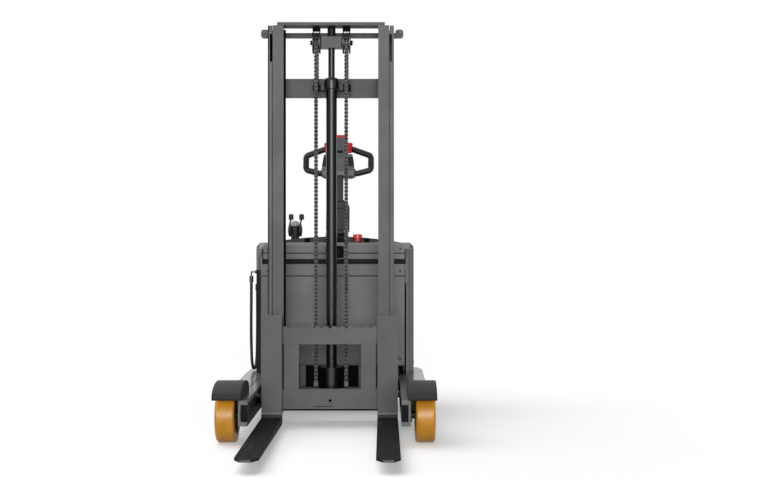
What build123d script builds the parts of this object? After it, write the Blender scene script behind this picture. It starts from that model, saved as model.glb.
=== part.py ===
from build123d import *
import os
from math import cos, pi, radians, sin, tan

# Walk-behind reach stacker, in millimetres, with the forks lowered and the mast drawn back.
# X runs across the truck, the forks point along -Y, Z is up and the floor is at Z = 0.
# The origin is on the floor under the middle of the truck. Lengths called setbacks are
# measured along +Y from the front face of the fork shanks.

# Clearances
slide_gap = 0.3
shaft_gap = 0.05
panel_gap = 2.0
rail_gap = 2.0

# Forks
fork_length = 1070.0
fork_width = 100.0
fork_spacing = 568.0
fork_shank = 40.0
fork_blade = 36.0
fork_tip = 10.0
fork_rise = 60.0
fork_height = 561.0
fork_heel_round = 24.0
fork_nose = 51.0
fork_nose_cut = 28.0
hook_wall = 20.0
hook_lip = 14.0

# Fork carriage
carriage_width = 668.0
carriage_height = 407.0
carriage_rise = 97.0
upper_bar_height = 88.0
lower_bar_height = 98.0
bar_thickness = 32.0
bar_lip = 16.0
notch_width = 14.0
notch_depth = 9.0
notch_pitch = 40.0
notch_count = 11
window_width = 306.0
upright_width = 74.0
roller_plate = 20.0
roller_plate_round = 36.0
roller_stub_radius = 18.0
carriage_roller_spread = 260.0
anchor_shelf_half = 18.5
anchor_shelf_height = 33.0
anchor_shelf_drop = 20.0
anchor_stud_radius = 5.0
anchor_nut_height = 17.0
bar_hole_radius = 7.5

# Mast rails
mast_height = 2022.0
mast_setback = 135.0
mast_width = 632.0
rail_depth = 140.0
rail_flange = 14.0
outer_rail_width = 22.0
outer_rail_web = 10.0
inner_rail_width = 55.0
inner_rail_web = 12.0
top_bar = 16.0
top_bar_width = 540.0
top_bar_depth = 90.0
inner_foot_height = 80.0
mast_roller_spread = 300.0
mast_roller_width = 9.0
carriage_roller_width = 34.0
roller_slot_length = 139.0
roller_slot_drop = 42.0
tie_thickness = 16.0
top_tie_height = 26.0
top_tie_drop = 38.0
ear_width = 41.0
ear_height = 44.0
ear_round = 14.0
mid_tie_height = 98.0
mid_tie_drop = 249.0

# Lift cylinder, crosshead and chains
cylinder_radius = 27.5
cylinder_bore = 22.5
cylinder_drop = 311.0
cylinder_foot_radius = 60.0
cylinder_foot_height = 193.0
collar_radius = 39.0
collar_height = 56.0
collar_round = 16.0
anchor_bar_height = 28.0
anchor_pin_radius = 6.0
lift_rod_radius = 16.5
piston_rise = 105.0
piston_height = 40.0
crosshead_width = 111.0
crosshead_height = 58.0
crosshead_depth = 56.0
crosshead_rise = 149.0
crosshead_boss_radius = 20.5
sheave_pin_radius = 12.5
sheave_pin_reach = 105.0
chain_spacing = 152.0
chain_width = 21.0
chain_waist = 13.0
chain_pitch = 19.05
chain_depth = 16.0
sheave_pitch_radius = 43.0
sheave_flange = 6.5
sheave_rim = 20.0
sheave_side_gap = 2.7
chain_guard_drop = 18.0
chain_guard_depth = 30.0
anchor_length = 20.0

# Straddle legs, load wheels and fenders
leg_spread = 690.0
leg_channel_width = 41.0
leg_web = 12.0
leg_flange = 20.0
leg_height = 116.0
leg_rise = 97.0
leg_reach = 484.0
leg_box_width = 91.0
leg_box_wall = 8.0
leg_box_setback = 850.0
leg_box_taper = 24.0
leg_box_taper_run = 85.0
leg_seam = 3.0
leg_stop_inset = 12.0
leg_stop_length = 50.0
load_wheel_radius = 125.0
load_wheel_width = 90.0
load_wheel_inset = 159.0
load_wheel_gap = 23.0
load_wheel_round = 12.0
wheel_house_gap = 8.0
load_axle_radius = 17.5
load_axle_flange = 35.0
load_axle_shoulder = 8.0
hub_dish = 14.0
hub_radius = 48.0
fender_reach = 169.0
fender_crown = 56.0
fender_rise = 12.0
fender_wall = 4.0
fender_width = 129.5

# Reach frame
reach_plate = 18.0
reach_plate_length = 360.0
reach_plate_lead = 40.0
reach_plate_height = 410.0
reach_foot = 20.0
reach_tie = 15.0
reach_rib_width = 31.0
reach_rib_spread = 272.0
reach_rib_height = 190.0
reach_roller_base = 280.0
reach_roller_width = 25.0
reach_axle_radius = 14.0
reach_cylinder_radius = 30.0
reach_cylinder_bore = 22.0
reach_cylinder_setback = 390.0
reach_cylinder_x = -206.0
reach_rod_radius = 14.0
reach_rod_overlap = 70.0
reach_gland = 25.0
reach_lug_half = 20.0
reach_stroke = 480.0

# Battery body
body_setback = 480.0
body_front_width = 764.0
body_width = 854.0
corner_run = 135.0
body_top_z = 916.0
corner_slot = 7.0
panel_bottom_z = 263.0
panel_top_z = 802.0
seam_z = 739.0
seam_width = 4.0
seam_depth = 1.5
cover_wall = 4.0
hood_plate = 34.0
hood_lid = 8.0
hood_face_bottom_z = 829.0
hood_groove_z = 858.0
hood_chamfer = 14.0
hood_shoulder_width = 20.0
hood_shoulder_height = 26.0
hood_length = 305.0
dash_length = 145.0
dash_width = 720.0
dash_rise = 33.0
rear_cover_length = 273.0
rear_cover_top_z = 900.0
rear_corner_round = 90.0
recess_width = 96.0
recess_drop = 19.0
recess_height = 62.0
recess_depth = 40.0
recess_x = 4.0

# Chassis frame and what it carries
frame_plate = 8.0
bulkhead_setback = 735.0
motor_plate = 15.0
motor_plate_z = 330.0
crossbar_height = 40.0
crossbar_inset = 16.0
battery_width = 660.0
battery_height = 505.0
battery_gap = 12.0
battery_edge = 6.0
cap_columns = 6
cap_rows = 2
pump_x = 262.0
pump_motor_radius = 60.0
pump_motor_height = 190.0
tank_width = 150.0
tank_gap = 22.5
tank_length = 90.0
tank_height = 250.0
controller_x = -262.0
controller_width = 150.0
controller_length = 190.0
controller_base = 40.0
controller_height = 90.0
fin_count = 8
fin_thickness = 6.0
valve_width = 78.0
valve_length = 50.0
valve_height = 90.0
valve_drop = 37.0

# Drive unit and steering
steer_setback = 870.0
drive_wheel_radius = 115.0
drive_wheel_width = 75.0
drive_axle_radius = 20.0
gearbox_width = 60.0
gearbox_length = 130.0
gearbox_gap = 8.0
gearbox_rise = 55.0
turntable_radius = 125.0
turntable_neck_radius = 105.0
turntable_plate = 15.0
turntable_drop = 80.0
motor_radius = 85.0
motor_height = 240.0
column_radius = 25.0
column_hole_radius = 62.0
yoke_width = 80.0
yoke_ear = 14.0
yoke_round = 25.0
yoke_block = 60.0
yoke_gap = 8.0

# Casters
caster_spacing = 560.0
caster_setback = 900.0
caster_wheel_radius = 62.5
caster_wheel_width = 45.0
caster_trail = 35.0
caster_cheek = 6.0
caster_plate_radius = 45.0
caster_plate = 12.0
caster_stem_radius = 15.0
caster_stem_length = 60.0
caster_axle_radius = 8.0
caster_pad_z = 190.0
caster_pad_width = 80.0

# Tiller, measured along the arm from its pivot
tiller_setback = 985.0
tiller_pivot_z = 955.0
tiller_lean = 13.5
tiller_pin_radius = 10.0
arm_width = 60.0
arm_depth = 45.0
arm_cover_width = 134.0
arm_cover_depth = 70.0
arm_cover_start = 29.0
arm_cover_end = 211.0
arm_cover_arch = 46.0
head_start = 352.0
head_length = 127.0
head_width = 191.0
head_middle_width = 185.0
head_top_width = 164.0
head_depth = 80.0
head_round = 12.0
head_foot_round = 20.0
stem_width = 88.0
stem_length = 101.0
stem_front = 42.0
stem_back = 34.0
stem_round = 6.0
handle_width = 415.0
grip_radius = 17.5
grip_bend = 24.0
handle_high = 485.0
handle_low = 399.0
handle_high_root = 533.0
handle_low_root = 378.0
handle_set_back = 16.0
throttle_reach = 520.0
throttle_front = 26.0
throttle_shaft_radius = 6.0
wing_gap = 9.0
wing_width = 31.0
wing_waist = 6.0
wing_length = 61.0
wing_thickness = 12.0
wing_round = 2.5
belly_width = 76.0
belly_depth = 56.0
belly_rise = 20.5
belly_travel = 8.0
belly_seat = 10.0

# Hydraulic levers and emergency stop
lever_x = -226.0
lever_spacing = 58.0
lever_setback = 742.0
lever_top_z = 1074.0
lever_bend_z = 1022.0
lever_pivot_z = 983.0
lever_knob_radius = 13.5
lever_knob_height = 32.0
lever_knob_round = 9.0
lever_crank = 6.5
lever_arm = 9.0
lever_hub_radius = 34.0
lever_hub_width = 10.0
lever_hub_bulge = 6.0
lever_pin_radius = 6.0
lever_gap = 2.0
console_length = 70.0
console_top_z = 1036.5
console_round = 21.0
console_dome = 19.0
stop_x = 124.0
stop_setback = 550.0
stop_head_radius = 25.0
stop_head_height = 21.0
stop_stem_radius = 15.0
stop_rise = 45.0
stop_depth = 32.0

# Hose loop on the left side: across and along from its near end, and height
hose_radius = 8.0
hose_x = -455.0
hose_setback = 622.0
hose_bend_share = 0.47
hose_sleeve_radius = 11.0
hose_sleeve_length = 33.0
hose_neck_radius = 4.0
hose_neck_rises = (22.0, 58.0)
hose_nut_radius = 9.0
hose_nut_width = 8.0
hose_route = [
    (0, 0, 702), (0, 0, 620), (-1, -3, 480), (0, -1, 360), (3, 0, 267), (6, 41, 226),
    (11, 99, 226), (14, 140, 267), (16, 142, 360), (17, 143, 470), (17, 140, 570), (17, 140, 652),
]

# Stations along the truck
lean_sine = sin(radians(tiller_lean))
lean_cosine = cos(radians(tiller_lean))
stem_end = head_start + head_length + stem_length
stem_round_loss = stem_round * (lean_sine + lean_cosine - 1)
face_to_rear = tiller_setback + stem_end * lean_sine + stem_back * lean_cosine - stem_round_loss
face_y = (fork_length - face_to_rear) / 2
shank_back_y = face_y + fork_shank
bar_front_y = shank_back_y + slide_gap
bar_back_y = bar_front_y + bar_thickness
rail_front_y = face_y + mast_setback
rail_back_y = rail_front_y + rail_depth
rail_mid_y = rail_front_y + rail_depth / 2
cylinder_y = rail_mid_y + slide_gap
chain_front_y = cylinder_y - sheave_pitch_radius
chain_back_y = cylinder_y + sheave_pitch_radius
reach_roller_y = rail_front_y
reach_tie_y = rail_back_y + tie_thickness
leg_front_y = face_y - leg_reach
load_wheel_y = leg_front_y + load_wheel_inset
leg_box_front_y = load_wheel_y + load_wheel_radius + wheel_house_gap
body_front_y = face_y + body_setback
body_shoulder_y = body_front_y + corner_run
bulkhead_y = face_y + bulkhead_setback
hood_back_y = body_front_y + hood_length
rear_cover_front_y = hood_back_y + panel_gap
rear_cover_back_y = rear_cover_front_y + rear_cover_length
steer_y = face_y + steer_setback
caster_y = face_y + caster_setback
tiller_y = face_y + tiller_setback
lever_y = face_y + lever_setback
stop_y = face_y + stop_setback
hose_y = face_y + hose_setback

# Stations across the truck, on the right
outer_rail_x = mast_width / 2
outer_tip_x = outer_rail_x - outer_rail_width
inner_rail_x = outer_tip_x - rail_gap
inner_tip_x = inner_rail_x - inner_rail_width
reach_plate_x = outer_rail_x + reach_plate
leg_tip_x = leg_spread / 2
leg_web_x = leg_tip_x + leg_channel_width
leg_inner_web_x = leg_web_x - leg_web
leg_box_x = leg_web_x + leg_box_width
load_wheel_x = leg_web_x + load_wheel_gap
fender_x = leg_inner_web_x + slide_gap
chain_x = chain_spacing / 2
upright_x = window_width / 2
roller_plate_x = upright_x + upright_width - roller_plate
body_x = body_width / 2
body_front_x = body_front_width / 2
fork_x = fork_spacing / 2
lever_hub_half = lever_hub_width / 2
console_half = lever_spacing / 2 - lever_hub_half - lever_gap
sheave_half = chain_width / 2 + sheave_side_gap + sheave_flange

# Heights
leg_top_z = leg_rise + leg_height
skirt_z = leg_top_z + panel_gap
reach_roller_z = leg_rise + leg_height / 2
reach_roller_radius = leg_height / 2 - leg_flange - slide_gap
carriage_top_z = carriage_rise + carriage_height
upper_bar_z = carriage_top_z - upper_bar_height
lower_bar_top_z = carriage_rise + lower_bar_height
anchor_shelf_z = lower_bar_top_z - anchor_shelf_drop
foot_top_z = carriage_rise - rail_gap
rail_top_z = mast_height - top_bar
outer_rail_top_z = rail_top_z - rail_gap
inner_rail_bottom_z = foot_top_z + rail_gap
inner_rail_front_y = rail_front_y + rail_gap
inner_rail_depth = rail_depth - 2 * rail_gap
mast_roller_radius = rail_depth / 2 - rail_flange - slide_gap
carriage_roller_radius = inner_rail_depth / 2 - rail_flange - slide_gap
mast_roller_z = inner_rail_bottom_z + mast_roller_radius
carriage_roller_z = carriage_rise + lower_bar_height / 2 + carriage_roller_radius / 2
cylinder_top_z = rail_top_z - cylinder_drop
collar_top_z = cylinder_top_z + collar_height
crosshead_z = collar_top_z + crosshead_rise
crosshead_top_z = crosshead_z + crosshead_height
sheave_z = crosshead_z + crosshead_height / 2
sheave_root_radius = sheave_pitch_radius - chain_depth / 2 - slide_gap
sheave_outer_radius = sheave_root_radius + sheave_rim
tray_top_z = panel_bottom_z + frame_plate
motor_plate_top_z = motor_plate_z + motor_plate
hood_plate_z = body_top_z - hood_plate
reach_cylinder_z = panel_bottom_z - reach_cylinder_radius - panel_gap
frame_wall_x = leg_inner_web_x - frame_plate

# The tiller's own plane: X across, Y up along the leaning arm, Z towards the forks
tiller_plane = Plane(
    origin=(0, tiller_y, tiller_pivot_z),
    x_dir=(1, 0, 0),
    z_dir=(0, -lean_cosine, lean_sine),
)

os.makedirs("parts", exist_ok=True)


def save(builder, name):
    """Labels a finished piece and writes it to its own file."""
    builder.part.label = name
    export_step(builder.part, f"parts/{name}.step")


def save_pair(right, name):
    """Writes a right-hand piece and its mirror image on the left."""
    save(right, f"{name}_right")
    with BuildPart() as left:
        mirror(right.part, about=Plane.YZ)
    save(left, f"{name}_left")


def block(x_span, y_span, z_span, mode=Mode.ADD):
    """Adds a rectangular block, or cuts one, that fills three (low, high) spans."""
    with Locations((x_span[0], y_span[0], z_span[0])):
        Box(
            x_span[1] - x_span[0],
            y_span[1] - y_span[0],
            z_span[1] - z_span[0],
            align=(Align.MIN, Align.MIN, Align.MIN),
            mode=mode,
        )


def bar_across(radius, x_span, y, z, mode=Mode.ADD):
    """Adds a round bar along X, or cuts its bore."""
    with Locations(Location(((x_span[0] + x_span[1]) / 2, y, z), (0, 90, 0))):
        Cylinder(radius, x_span[1] - x_span[0], mode=mode)


def bar_along(radius, x, y_span, z, mode=Mode.ADD):
    """Adds a round bar along Y, or cuts its bore."""
    with Locations(Location((x, (y_span[0] + y_span[1]) / 2, z), (90, 0, 0))):
        Cylinder(radius, y_span[1] - y_span[0], mode=mode)


def post(radius, x, y, z_span, mode=Mode.ADD):
    """Adds an upright round bar, or cuts its bore."""
    with Locations((x, y, z_span[0])):
        Cylinder(
            radius,
            z_span[1] - z_span[0],
            align=(Align.CENTER, Align.CENTER, Align.MIN),
            mode=mode,
        )


# Forks: tapered blades whose hooks reach over and under the carriage bars
tip_y = face_y - fork_length
hook_front_y = bar_front_y + bar_lip + slide_gap
hook_back_y = hook_front_y + hook_wall
hook_top_z = carriage_top_z + slide_gap + hook_wall
hook_bottom_z = carriage_rise - slide_gap - hook_wall

with BuildPart() as fork:
    with BuildSketch(Plane.YZ.offset(fork_x - fork_width / 2)) as fork_side:
        with BuildLine():
            Polyline(
                (tip_y, fork_rise),
                (face_y, fork_rise),
                (face_y, fork_height),
                (shank_back_y, fork_height),
                (shank_back_y, hook_top_z),
                (hook_back_y, hook_top_z),
                (hook_back_y, carriage_top_z - hook_lip),
                (hook_front_y, carriage_top_z - hook_lip),
                (hook_front_y, carriage_top_z + slide_gap),
                (shank_back_y, carriage_top_z + slide_gap),
                (shank_back_y, carriage_rise - slide_gap),
                (hook_front_y, carriage_rise - slide_gap),
                (hook_front_y, carriage_rise + hook_lip),
                (hook_back_y, carriage_rise + hook_lip),
                (hook_back_y, hook_bottom_z),
                (shank_back_y, hook_bottom_z),
                (shank_back_y, fork_rise - fork_blade),
                (tip_y, fork_rise - fork_tip),
                close=True,
            )
        make_face()
        heel_inside = fork_side.vertices().sort_by_distance((face_y, fork_rise))[0]
        fillet(heel_inside, radius=fork_heel_round)
        heel_outside = fork_side.vertices().sort_by_distance((shank_back_y, fork_rise - fork_blade))[0]
        fillet(heel_outside, radius=fork_blade)
    extrude(amount=fork_width)
    nose_edges = fork.edges().filter_by(Axis.Z).group_by(Axis.Y)[0]
    chamfer(nose_edges, length=fork_nose_cut, length2=fork_nose)
save_pair(fork, "fork")

# Fork carriage: hook bars, uprights, roller plates and the shelves that hold the chain anchors
with BuildPart() as carriage_frame:
    with BuildSketch(Plane.YZ.offset(-carriage_width / 2)):
        with BuildLine():
            Polyline(
                (bar_front_y, upper_bar_z),
                (bar_back_y, upper_bar_z),
                (bar_back_y, carriage_top_z - bar_lip),
                (bar_front_y + bar_lip, carriage_top_z - bar_lip),
                (bar_front_y + bar_lip, carriage_top_z),
                (bar_front_y, carriage_top_z),
                close=True,
            )
        make_face()
        with BuildLine():
            Polyline(
                (bar_front_y, lower_bar_top_z),
                (bar_back_y, lower_bar_top_z),
                (bar_back_y, carriage_rise + bar_lip),
                (bar_front_y + bar_lip, carriage_rise + bar_lip),
                (bar_front_y + bar_lip, carriage_rise),
                (bar_front_y, carriage_rise),
                close=True,
            )
        make_face()
    extrude(amount=carriage_width)
    with BuildSketch(Plane.XY.offset(lower_bar_top_z)):
        with Locations((upright_x, bar_back_y), (-upright_x - upright_width, bar_back_y)):
            Rectangle(upright_width, bar_thickness - rail_gap, align=(Align.MIN, Align.MAX))
    extrude(amount=upper_bar_z - lower_bar_top_z)
    with BuildSketch(Plane.YZ.offset(roller_plate_x)):
        with Locations((rail_mid_y, carriage_roller_z)):
            Circle(roller_plate_round)
        with Locations((rail_mid_y, carriage_roller_z + carriage_roller_spread)):
            Circle(roller_plate_round)
        with Locations((bar_back_y, carriage_rise + bar_lip)):
            Rectangle(bar_lip, carriage_height - 2 * bar_lip, align=(Align.MIN, Align.MIN))
        make_hull()
    extrude(amount=roller_plate)
    block(
        (chain_x - anchor_shelf_half, chain_x + anchor_shelf_half),
        (bar_back_y, chain_front_y + anchor_shelf_half),
        (anchor_shelf_z - anchor_shelf_height, anchor_shelf_z),
    )
    post(
        anchor_stud_radius + shaft_gap,
        chain_x,
        chain_front_y,
        (carriage_rise, anchor_shelf_z),
        Mode.SUBTRACT,
    )
    mirror(about=Plane.YZ)
    with Locations((0, bar_front_y + bar_lip / 2, carriage_top_z - notch_depth / 2)):
        with GridLocations(notch_pitch, 1, notch_count, 1):
            Box(notch_width, bar_lip, notch_depth, mode=Mode.SUBTRACT)
    bar_along(
        bar_hole_radius,
        0,
        (bar_front_y, bar_back_y),
        carriage_rise + (lower_bar_height - bar_lip) / 2,
        Mode.SUBTRACT,
    )
save(carriage_frame, "carriage_frame")

# Carriage rollers on stubs, two on each side, running inside the inner rails
carriage_roller_x = inner_rail_x - inner_rail_web - rail_gap / 2 - carriage_roller_width

with BuildPart() as carriage_rollers:
    for height in (carriage_roller_z, carriage_roller_z + carriage_roller_spread):
        bar_across(
            carriage_roller_radius,
            (carriage_roller_x, carriage_roller_x + carriage_roller_width),
            rail_mid_y,
            height,
        )
        bar_across(
            roller_stub_radius,
            (roller_plate_x + roller_plate, carriage_roller_x),
            rail_mid_y,
            height,
        )
    mirror(about=Plane.YZ)
save(carriage_rollers, "carriage_rollers")

# Chain anchors: a clevis above each shelf, its stud through it and a nut below
chain_bottom_z = lower_bar_top_z + anchor_length
nut_top_z = anchor_shelf_z - anchor_shelf_height

with BuildPart() as chain_anchors:
    block(
        (chain_x - chain_width / 2, chain_x + chain_width / 2),
        (chain_front_y - chain_depth / 2, chain_front_y + chain_depth / 2),
        (lower_bar_top_z, chain_bottom_z),
    )
    post(
        anchor_stud_radius,
        chain_x,
        chain_front_y,
        (nut_top_z - anchor_nut_height, lower_bar_top_z),
    )
    with BuildSketch(Plane.XY.offset(nut_top_z)):
        with Locations((chain_x, chain_front_y)):
            RegularPolygon(2 * anchor_stud_radius, 6)
    extrude(amount=-anchor_nut_height)
    mirror(about=Plane.YZ)
save(chain_anchors, "chain_anchors")

# Outer mast rails: channels open inwards, with the roller slot near the top of the front flange
with BuildPart() as outer_rail:
    with BuildSketch(Plane.XY.offset(foot_top_z)):
        with Locations((outer_tip_x, rail_front_y)):
            Rectangle(outer_rail_width, rail_depth, align=(Align.MIN, Align.MIN))
        with Locations((outer_tip_x, rail_mid_y)):
            Rectangle(
                outer_rail_width - outer_rail_web,
                rail_depth - 2 * rail_flange,
                align=(Align.MIN, Align.CENTER),
                mode=Mode.SUBTRACT,
            )
    extrude(amount=outer_rail_top_z - foot_top_z)
    slot_top_z = outer_rail_top_z - roller_slot_drop
    block(
        (outer_tip_x, outer_rail_x - outer_rail_web),
        (rail_front_y, rail_front_y + rail_flange),
        (slot_top_z - roller_slot_length, slot_top_z),
        Mode.SUBTRACT,
    )
save_pair(outer_rail, "outer_rail")

# Inner mast rails: channels open inwards, nested between the outer rails
with BuildPart() as inner_rail:
    with BuildSketch(Plane.XY.offset(inner_rail_bottom_z)):
        with Locations((inner_tip_x, rail_mid_y)):
            Rectangle(inner_rail_width, inner_rail_depth, align=(Align.MIN, Align.CENTER))
            Rectangle(
                inner_rail_width - inner_rail_web,
                inner_rail_depth - 2 * rail_flange,
                align=(Align.MIN, Align.CENTER),
                mode=Mode.SUBTRACT,
            )
    extrude(amount=rail_top_z - inner_rail_bottom_z)
save_pair(inner_rail, "inner_rail")

# Inner mast top bar, bolted down on both rails and on the crosshead boss, with the chain guards
with BuildPart() as inner_top_bar:
    with BuildSketch(Plane.XY.offset(rail_top_z)) as bar_plan:
        with Locations((0, inner_rail_front_y)):
            Rectangle(top_bar_width, top_bar_depth, align=(Align.CENTER, Align.MIN))
        fillet(bar_plan.vertices(), radius=rail_flange / 2)
    extrude(amount=top_bar)
    with BuildSketch(Plane.XY.offset(rail_top_z)) as guard_plan:
        with Locations((chain_x, cylinder_y), (-chain_x, cylinder_y)):
            Rectangle(2 * sheave_half, chain_guard_depth)
            Rectangle(chain_width, chain_guard_depth / 2, mode=Mode.SUBTRACT)
    extrude(guard_plan.sketch, amount=-chain_guard_drop)
save(inner_top_bar, "inner_top_bar")

# Inner mast foot tie between the rear flanges, cut away behind the lift cylinder
with BuildPart() as inner_foot_tie:
    inner_rail_back_y = inner_rail_front_y + inner_rail_depth
    block(
        (-inner_tip_x, inner_tip_x),
        (inner_rail_back_y - rail_flange, inner_rail_back_y),
        (inner_rail_bottom_z, inner_rail_bottom_z + inner_foot_height),
    )
    fillet(inner_foot_tie.edges().filter_by(Axis.Y), radius=rail_flange / 2)
save(inner_foot_tie, "inner_foot_tie")

# Mast rollers on the foot of the inner rails, running inside the outer rails
mast_roller_x = outer_tip_x + rail_gap / 2

with BuildPart() as mast_rollers:
    for height in (mast_roller_z, mast_roller_z + mast_roller_spread):
        bar_across(
            mast_roller_radius,
            (mast_roller_x, mast_roller_x + mast_roller_width),
            rail_mid_y,
            height,
        )
        bar_across(roller_stub_radius, (inner_rail_x, mast_roller_x), rail_mid_y, height)
    mirror(about=Plane.YZ)
save(mast_rollers, "mast_rollers")

# Ties across the back of the outer rails; the top one ends in rounded ears
top_tie_z = outer_rail_top_z - top_tie_drop
mid_tie_top_z = rail_top_z - mid_tie_drop
ear_x = outer_rail_x + bar_lip / 2

with BuildPart() as mast_ties:
    with BuildSketch(Plane.XZ.offset(-rail_back_y)) as tie_face:
        with Locations((0, top_tie_z)):
            Rectangle(2 * (ear_x + ear_round), top_tie_height, align=(Align.CENTER, Align.MIN))
        with Locations((ear_x, top_tie_z)):
            RectangleRounded(ear_width, ear_height, ear_round, align=(Align.MIN, Align.MIN))
        with Locations((-ear_x, top_tie_z)):
            RectangleRounded(ear_width, ear_height, ear_round, align=(Align.MAX, Align.MIN))
        with Locations((0, mid_tie_top_z)):
            Rectangle(2 * outer_rail_x, mid_tie_height, align=(Align.CENTER, Align.MAX))
    extrude(amount=-tie_thickness)
save(mast_ties, "mast_ties")

# Lift cylinder: bored tube in a foot cup, gland collar tied back to the mast, bar for the chain ends
collar_block = collar_radius / 2
anchor_bar_half = chain_x + chain_width
cup_top_z = foot_top_z + cylinder_foot_height
cup_back_y = inner_rail_back_y - rail_flange - rail_gap

with BuildPart() as lift_cylinder:
    post(cylinder_radius, 0, cylinder_y, (foot_top_z, cylinder_top_z))
    post(cylinder_foot_radius, 0, cylinder_y, (foot_top_z, cup_top_z))
    block(
        (-cylinder_foot_radius, cylinder_foot_radius),
        (cup_back_y, cylinder_y + cylinder_foot_radius),
        (foot_top_z, cup_top_z),
        Mode.SUBTRACT,
    )
    post(collar_radius, 0, cylinder_y, (cylinder_top_z, collar_top_z))
    collar_rim = lift_cylinder.edges().filter_by(GeomType.CIRCLE).sort_by(Axis.Z)[-1]
    fillet(collar_rim, radius=collar_round)
    block(
        (-collar_block, collar_block),
        (cylinder_y, rail_back_y),
        (cylinder_top_z, collar_top_z - collar_round),
    )
    block(
        (-anchor_bar_half, anchor_bar_half),
        (chain_back_y - chain_depth / 2, rail_back_y),
        (cylinder_top_z, cylinder_top_z + anchor_bar_height),
    )
    anchor_bar_top_z = cylinder_top_z + anchor_bar_height
    with Locations((chain_x, chain_back_y), (-chain_x, chain_back_y)):
        with Locations((0, 0, anchor_bar_top_z)):
            Box(
                chain_width,
                chain_depth,
                anchor_length,
                align=(Align.CENTER, Align.CENTER, Align.MIN),
            )
        with Locations((0, 0, cylinder_top_z)):
            Cylinder(
                anchor_pin_radius,
                anchor_length,
                align=(Align.CENTER, Align.CENTER, Align.MAX),
            )
    post(
        cylinder_bore,
        0,
        cylinder_y,
        (foot_top_z + cylinder_foot_radius, cylinder_top_z),
        Mode.SUBTRACT,
    )
    post(
        lift_rod_radius + shaft_gap,
        0,
        cylinder_y,
        (cylinder_top_z, collar_top_z),
        Mode.SUBTRACT,
    )
save(lift_cylinder, "lift_cylinder")

# Lift rod with its piston
rod_bottom_z = foot_top_z + piston_rise

with BuildPart() as lift_rod:
    post(lift_rod_radius, 0, cylinder_y, (rod_bottom_z, crosshead_z))
    post(cylinder_bore - shaft_gap, 0, cylinder_y, (rod_bottom_z, rod_bottom_z + piston_height))
save(lift_rod, "lift_rod")

# Crosshead on the rod: block, boss under the top bar and the sheave pins
with BuildPart() as crosshead:
    with BuildSketch(Plane.XY.offset(crosshead_z)):
        with Locations((0, cylinder_y)):
            RectangleRounded(crosshead_width, crosshead_depth, rail_flange / 2)
    extrude(amount=crosshead_height)
    post(crosshead_boss_radius, 0, cylinder_y, (crosshead_top_z, rail_top_z))
    bar_across(sheave_pin_radius, (-sheave_pin_reach, sheave_pin_reach), cylinder_y, sheave_z)
save(crosshead, "crosshead")

# Chain sheaves: grooved rollers turning on the pins
with BuildPart() as sheave:
    bar_across(
        sheave_outer_radius,
        (chain_x - sheave_half, chain_x + sheave_half),
        cylinder_y,
        sheave_z,
    )
    groove_half = sheave_half - sheave_flange
    with BuildSketch(Plane.YZ.offset(chain_x - groove_half)):
        with Locations((cylinder_y, sheave_z)):
            Circle(sheave_outer_radius)
            Circle(sheave_root_radius, mode=Mode.SUBTRACT)
    extrude(amount=2 * groove_half, mode=Mode.SUBTRACT)
    bar_across(
        sheave_pin_radius + shaft_gap,
        (chain_x - sheave_half, chain_x + sheave_half),
        cylinder_y,
        sheave_z,
        Mode.SUBTRACT,
    )
save_pair(sheave, "sheave")

# Lift chains: wide outer links and narrow inner links by turns, one pitch each
def chain_run(y, low_z, high_z):
    """Adds the right-hand chain's straight run between two heights."""
    link_count = int((high_z - low_z) // chain_pitch)
    half_widths = [chain_width / 2 if link % 2 == 0 else chain_waist / 2 for link in range(link_count)]
    ends = [low_z + link * chain_pitch for link in range(link_count)] + [high_z]
    edge = []
    for half, start, end in zip(half_widths, ends, ends[1:]):
        edge += [(half, start), (half, end)]
    right_edge = [(chain_x + half, z) for half, z in edge]
    left_edge = [(chain_x - half, z) for half, z in reversed(edge)]
    with BuildSketch(Plane.XZ.offset(-y - chain_depth / 2)) as links:
        with BuildLine():
            Polyline(*right_edge, *left_edge, close=True)
        make_face()
    extrude(links.sketch, amount=chain_depth)


with BuildPart() as lift_chains:
    chain_run(chain_front_y, chain_bottom_z, sheave_z)
    mirror(about=Plane.YZ)
save(lift_chains, "lift_chains")

with BuildPart() as chain_tails:
    chain_run(chain_back_y, anchor_bar_top_z + anchor_length, sheave_z)
    mirror(about=Plane.YZ)
save(chain_tails, "chain_tails")

with BuildPart() as chain_wraps:
    with BuildSketch(Plane.YZ.offset(chain_x - chain_width / 2)):
        with Locations((cylinder_y, sheave_z)):
            Circle(sheave_pitch_radius + chain_depth / 2)
            Circle(sheave_pitch_radius - chain_depth / 2, mode=Mode.SUBTRACT)
            Rectangle(
                2 * (sheave_pitch_radius + chain_depth),
                2 * sheave_pitch_radius,
                align=(Align.CENTER, Align.MAX),
                mode=Mode.SUBTRACT,
            )
    extrude(amount=chain_width)
    mirror(about=Plane.YZ)
save(chain_wraps, "chain_wraps")

# Straddle legs: roller channel on the inside, box open below outside it behind the load wheel
leg_back_y = bulkhead_y
leg_box_back_y = face_y + leg_box_setback
leg_taper_y = leg_box_back_y - leg_box_taper_run
leg_stop_y = leg_front_y + leg_stop_inset

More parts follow.
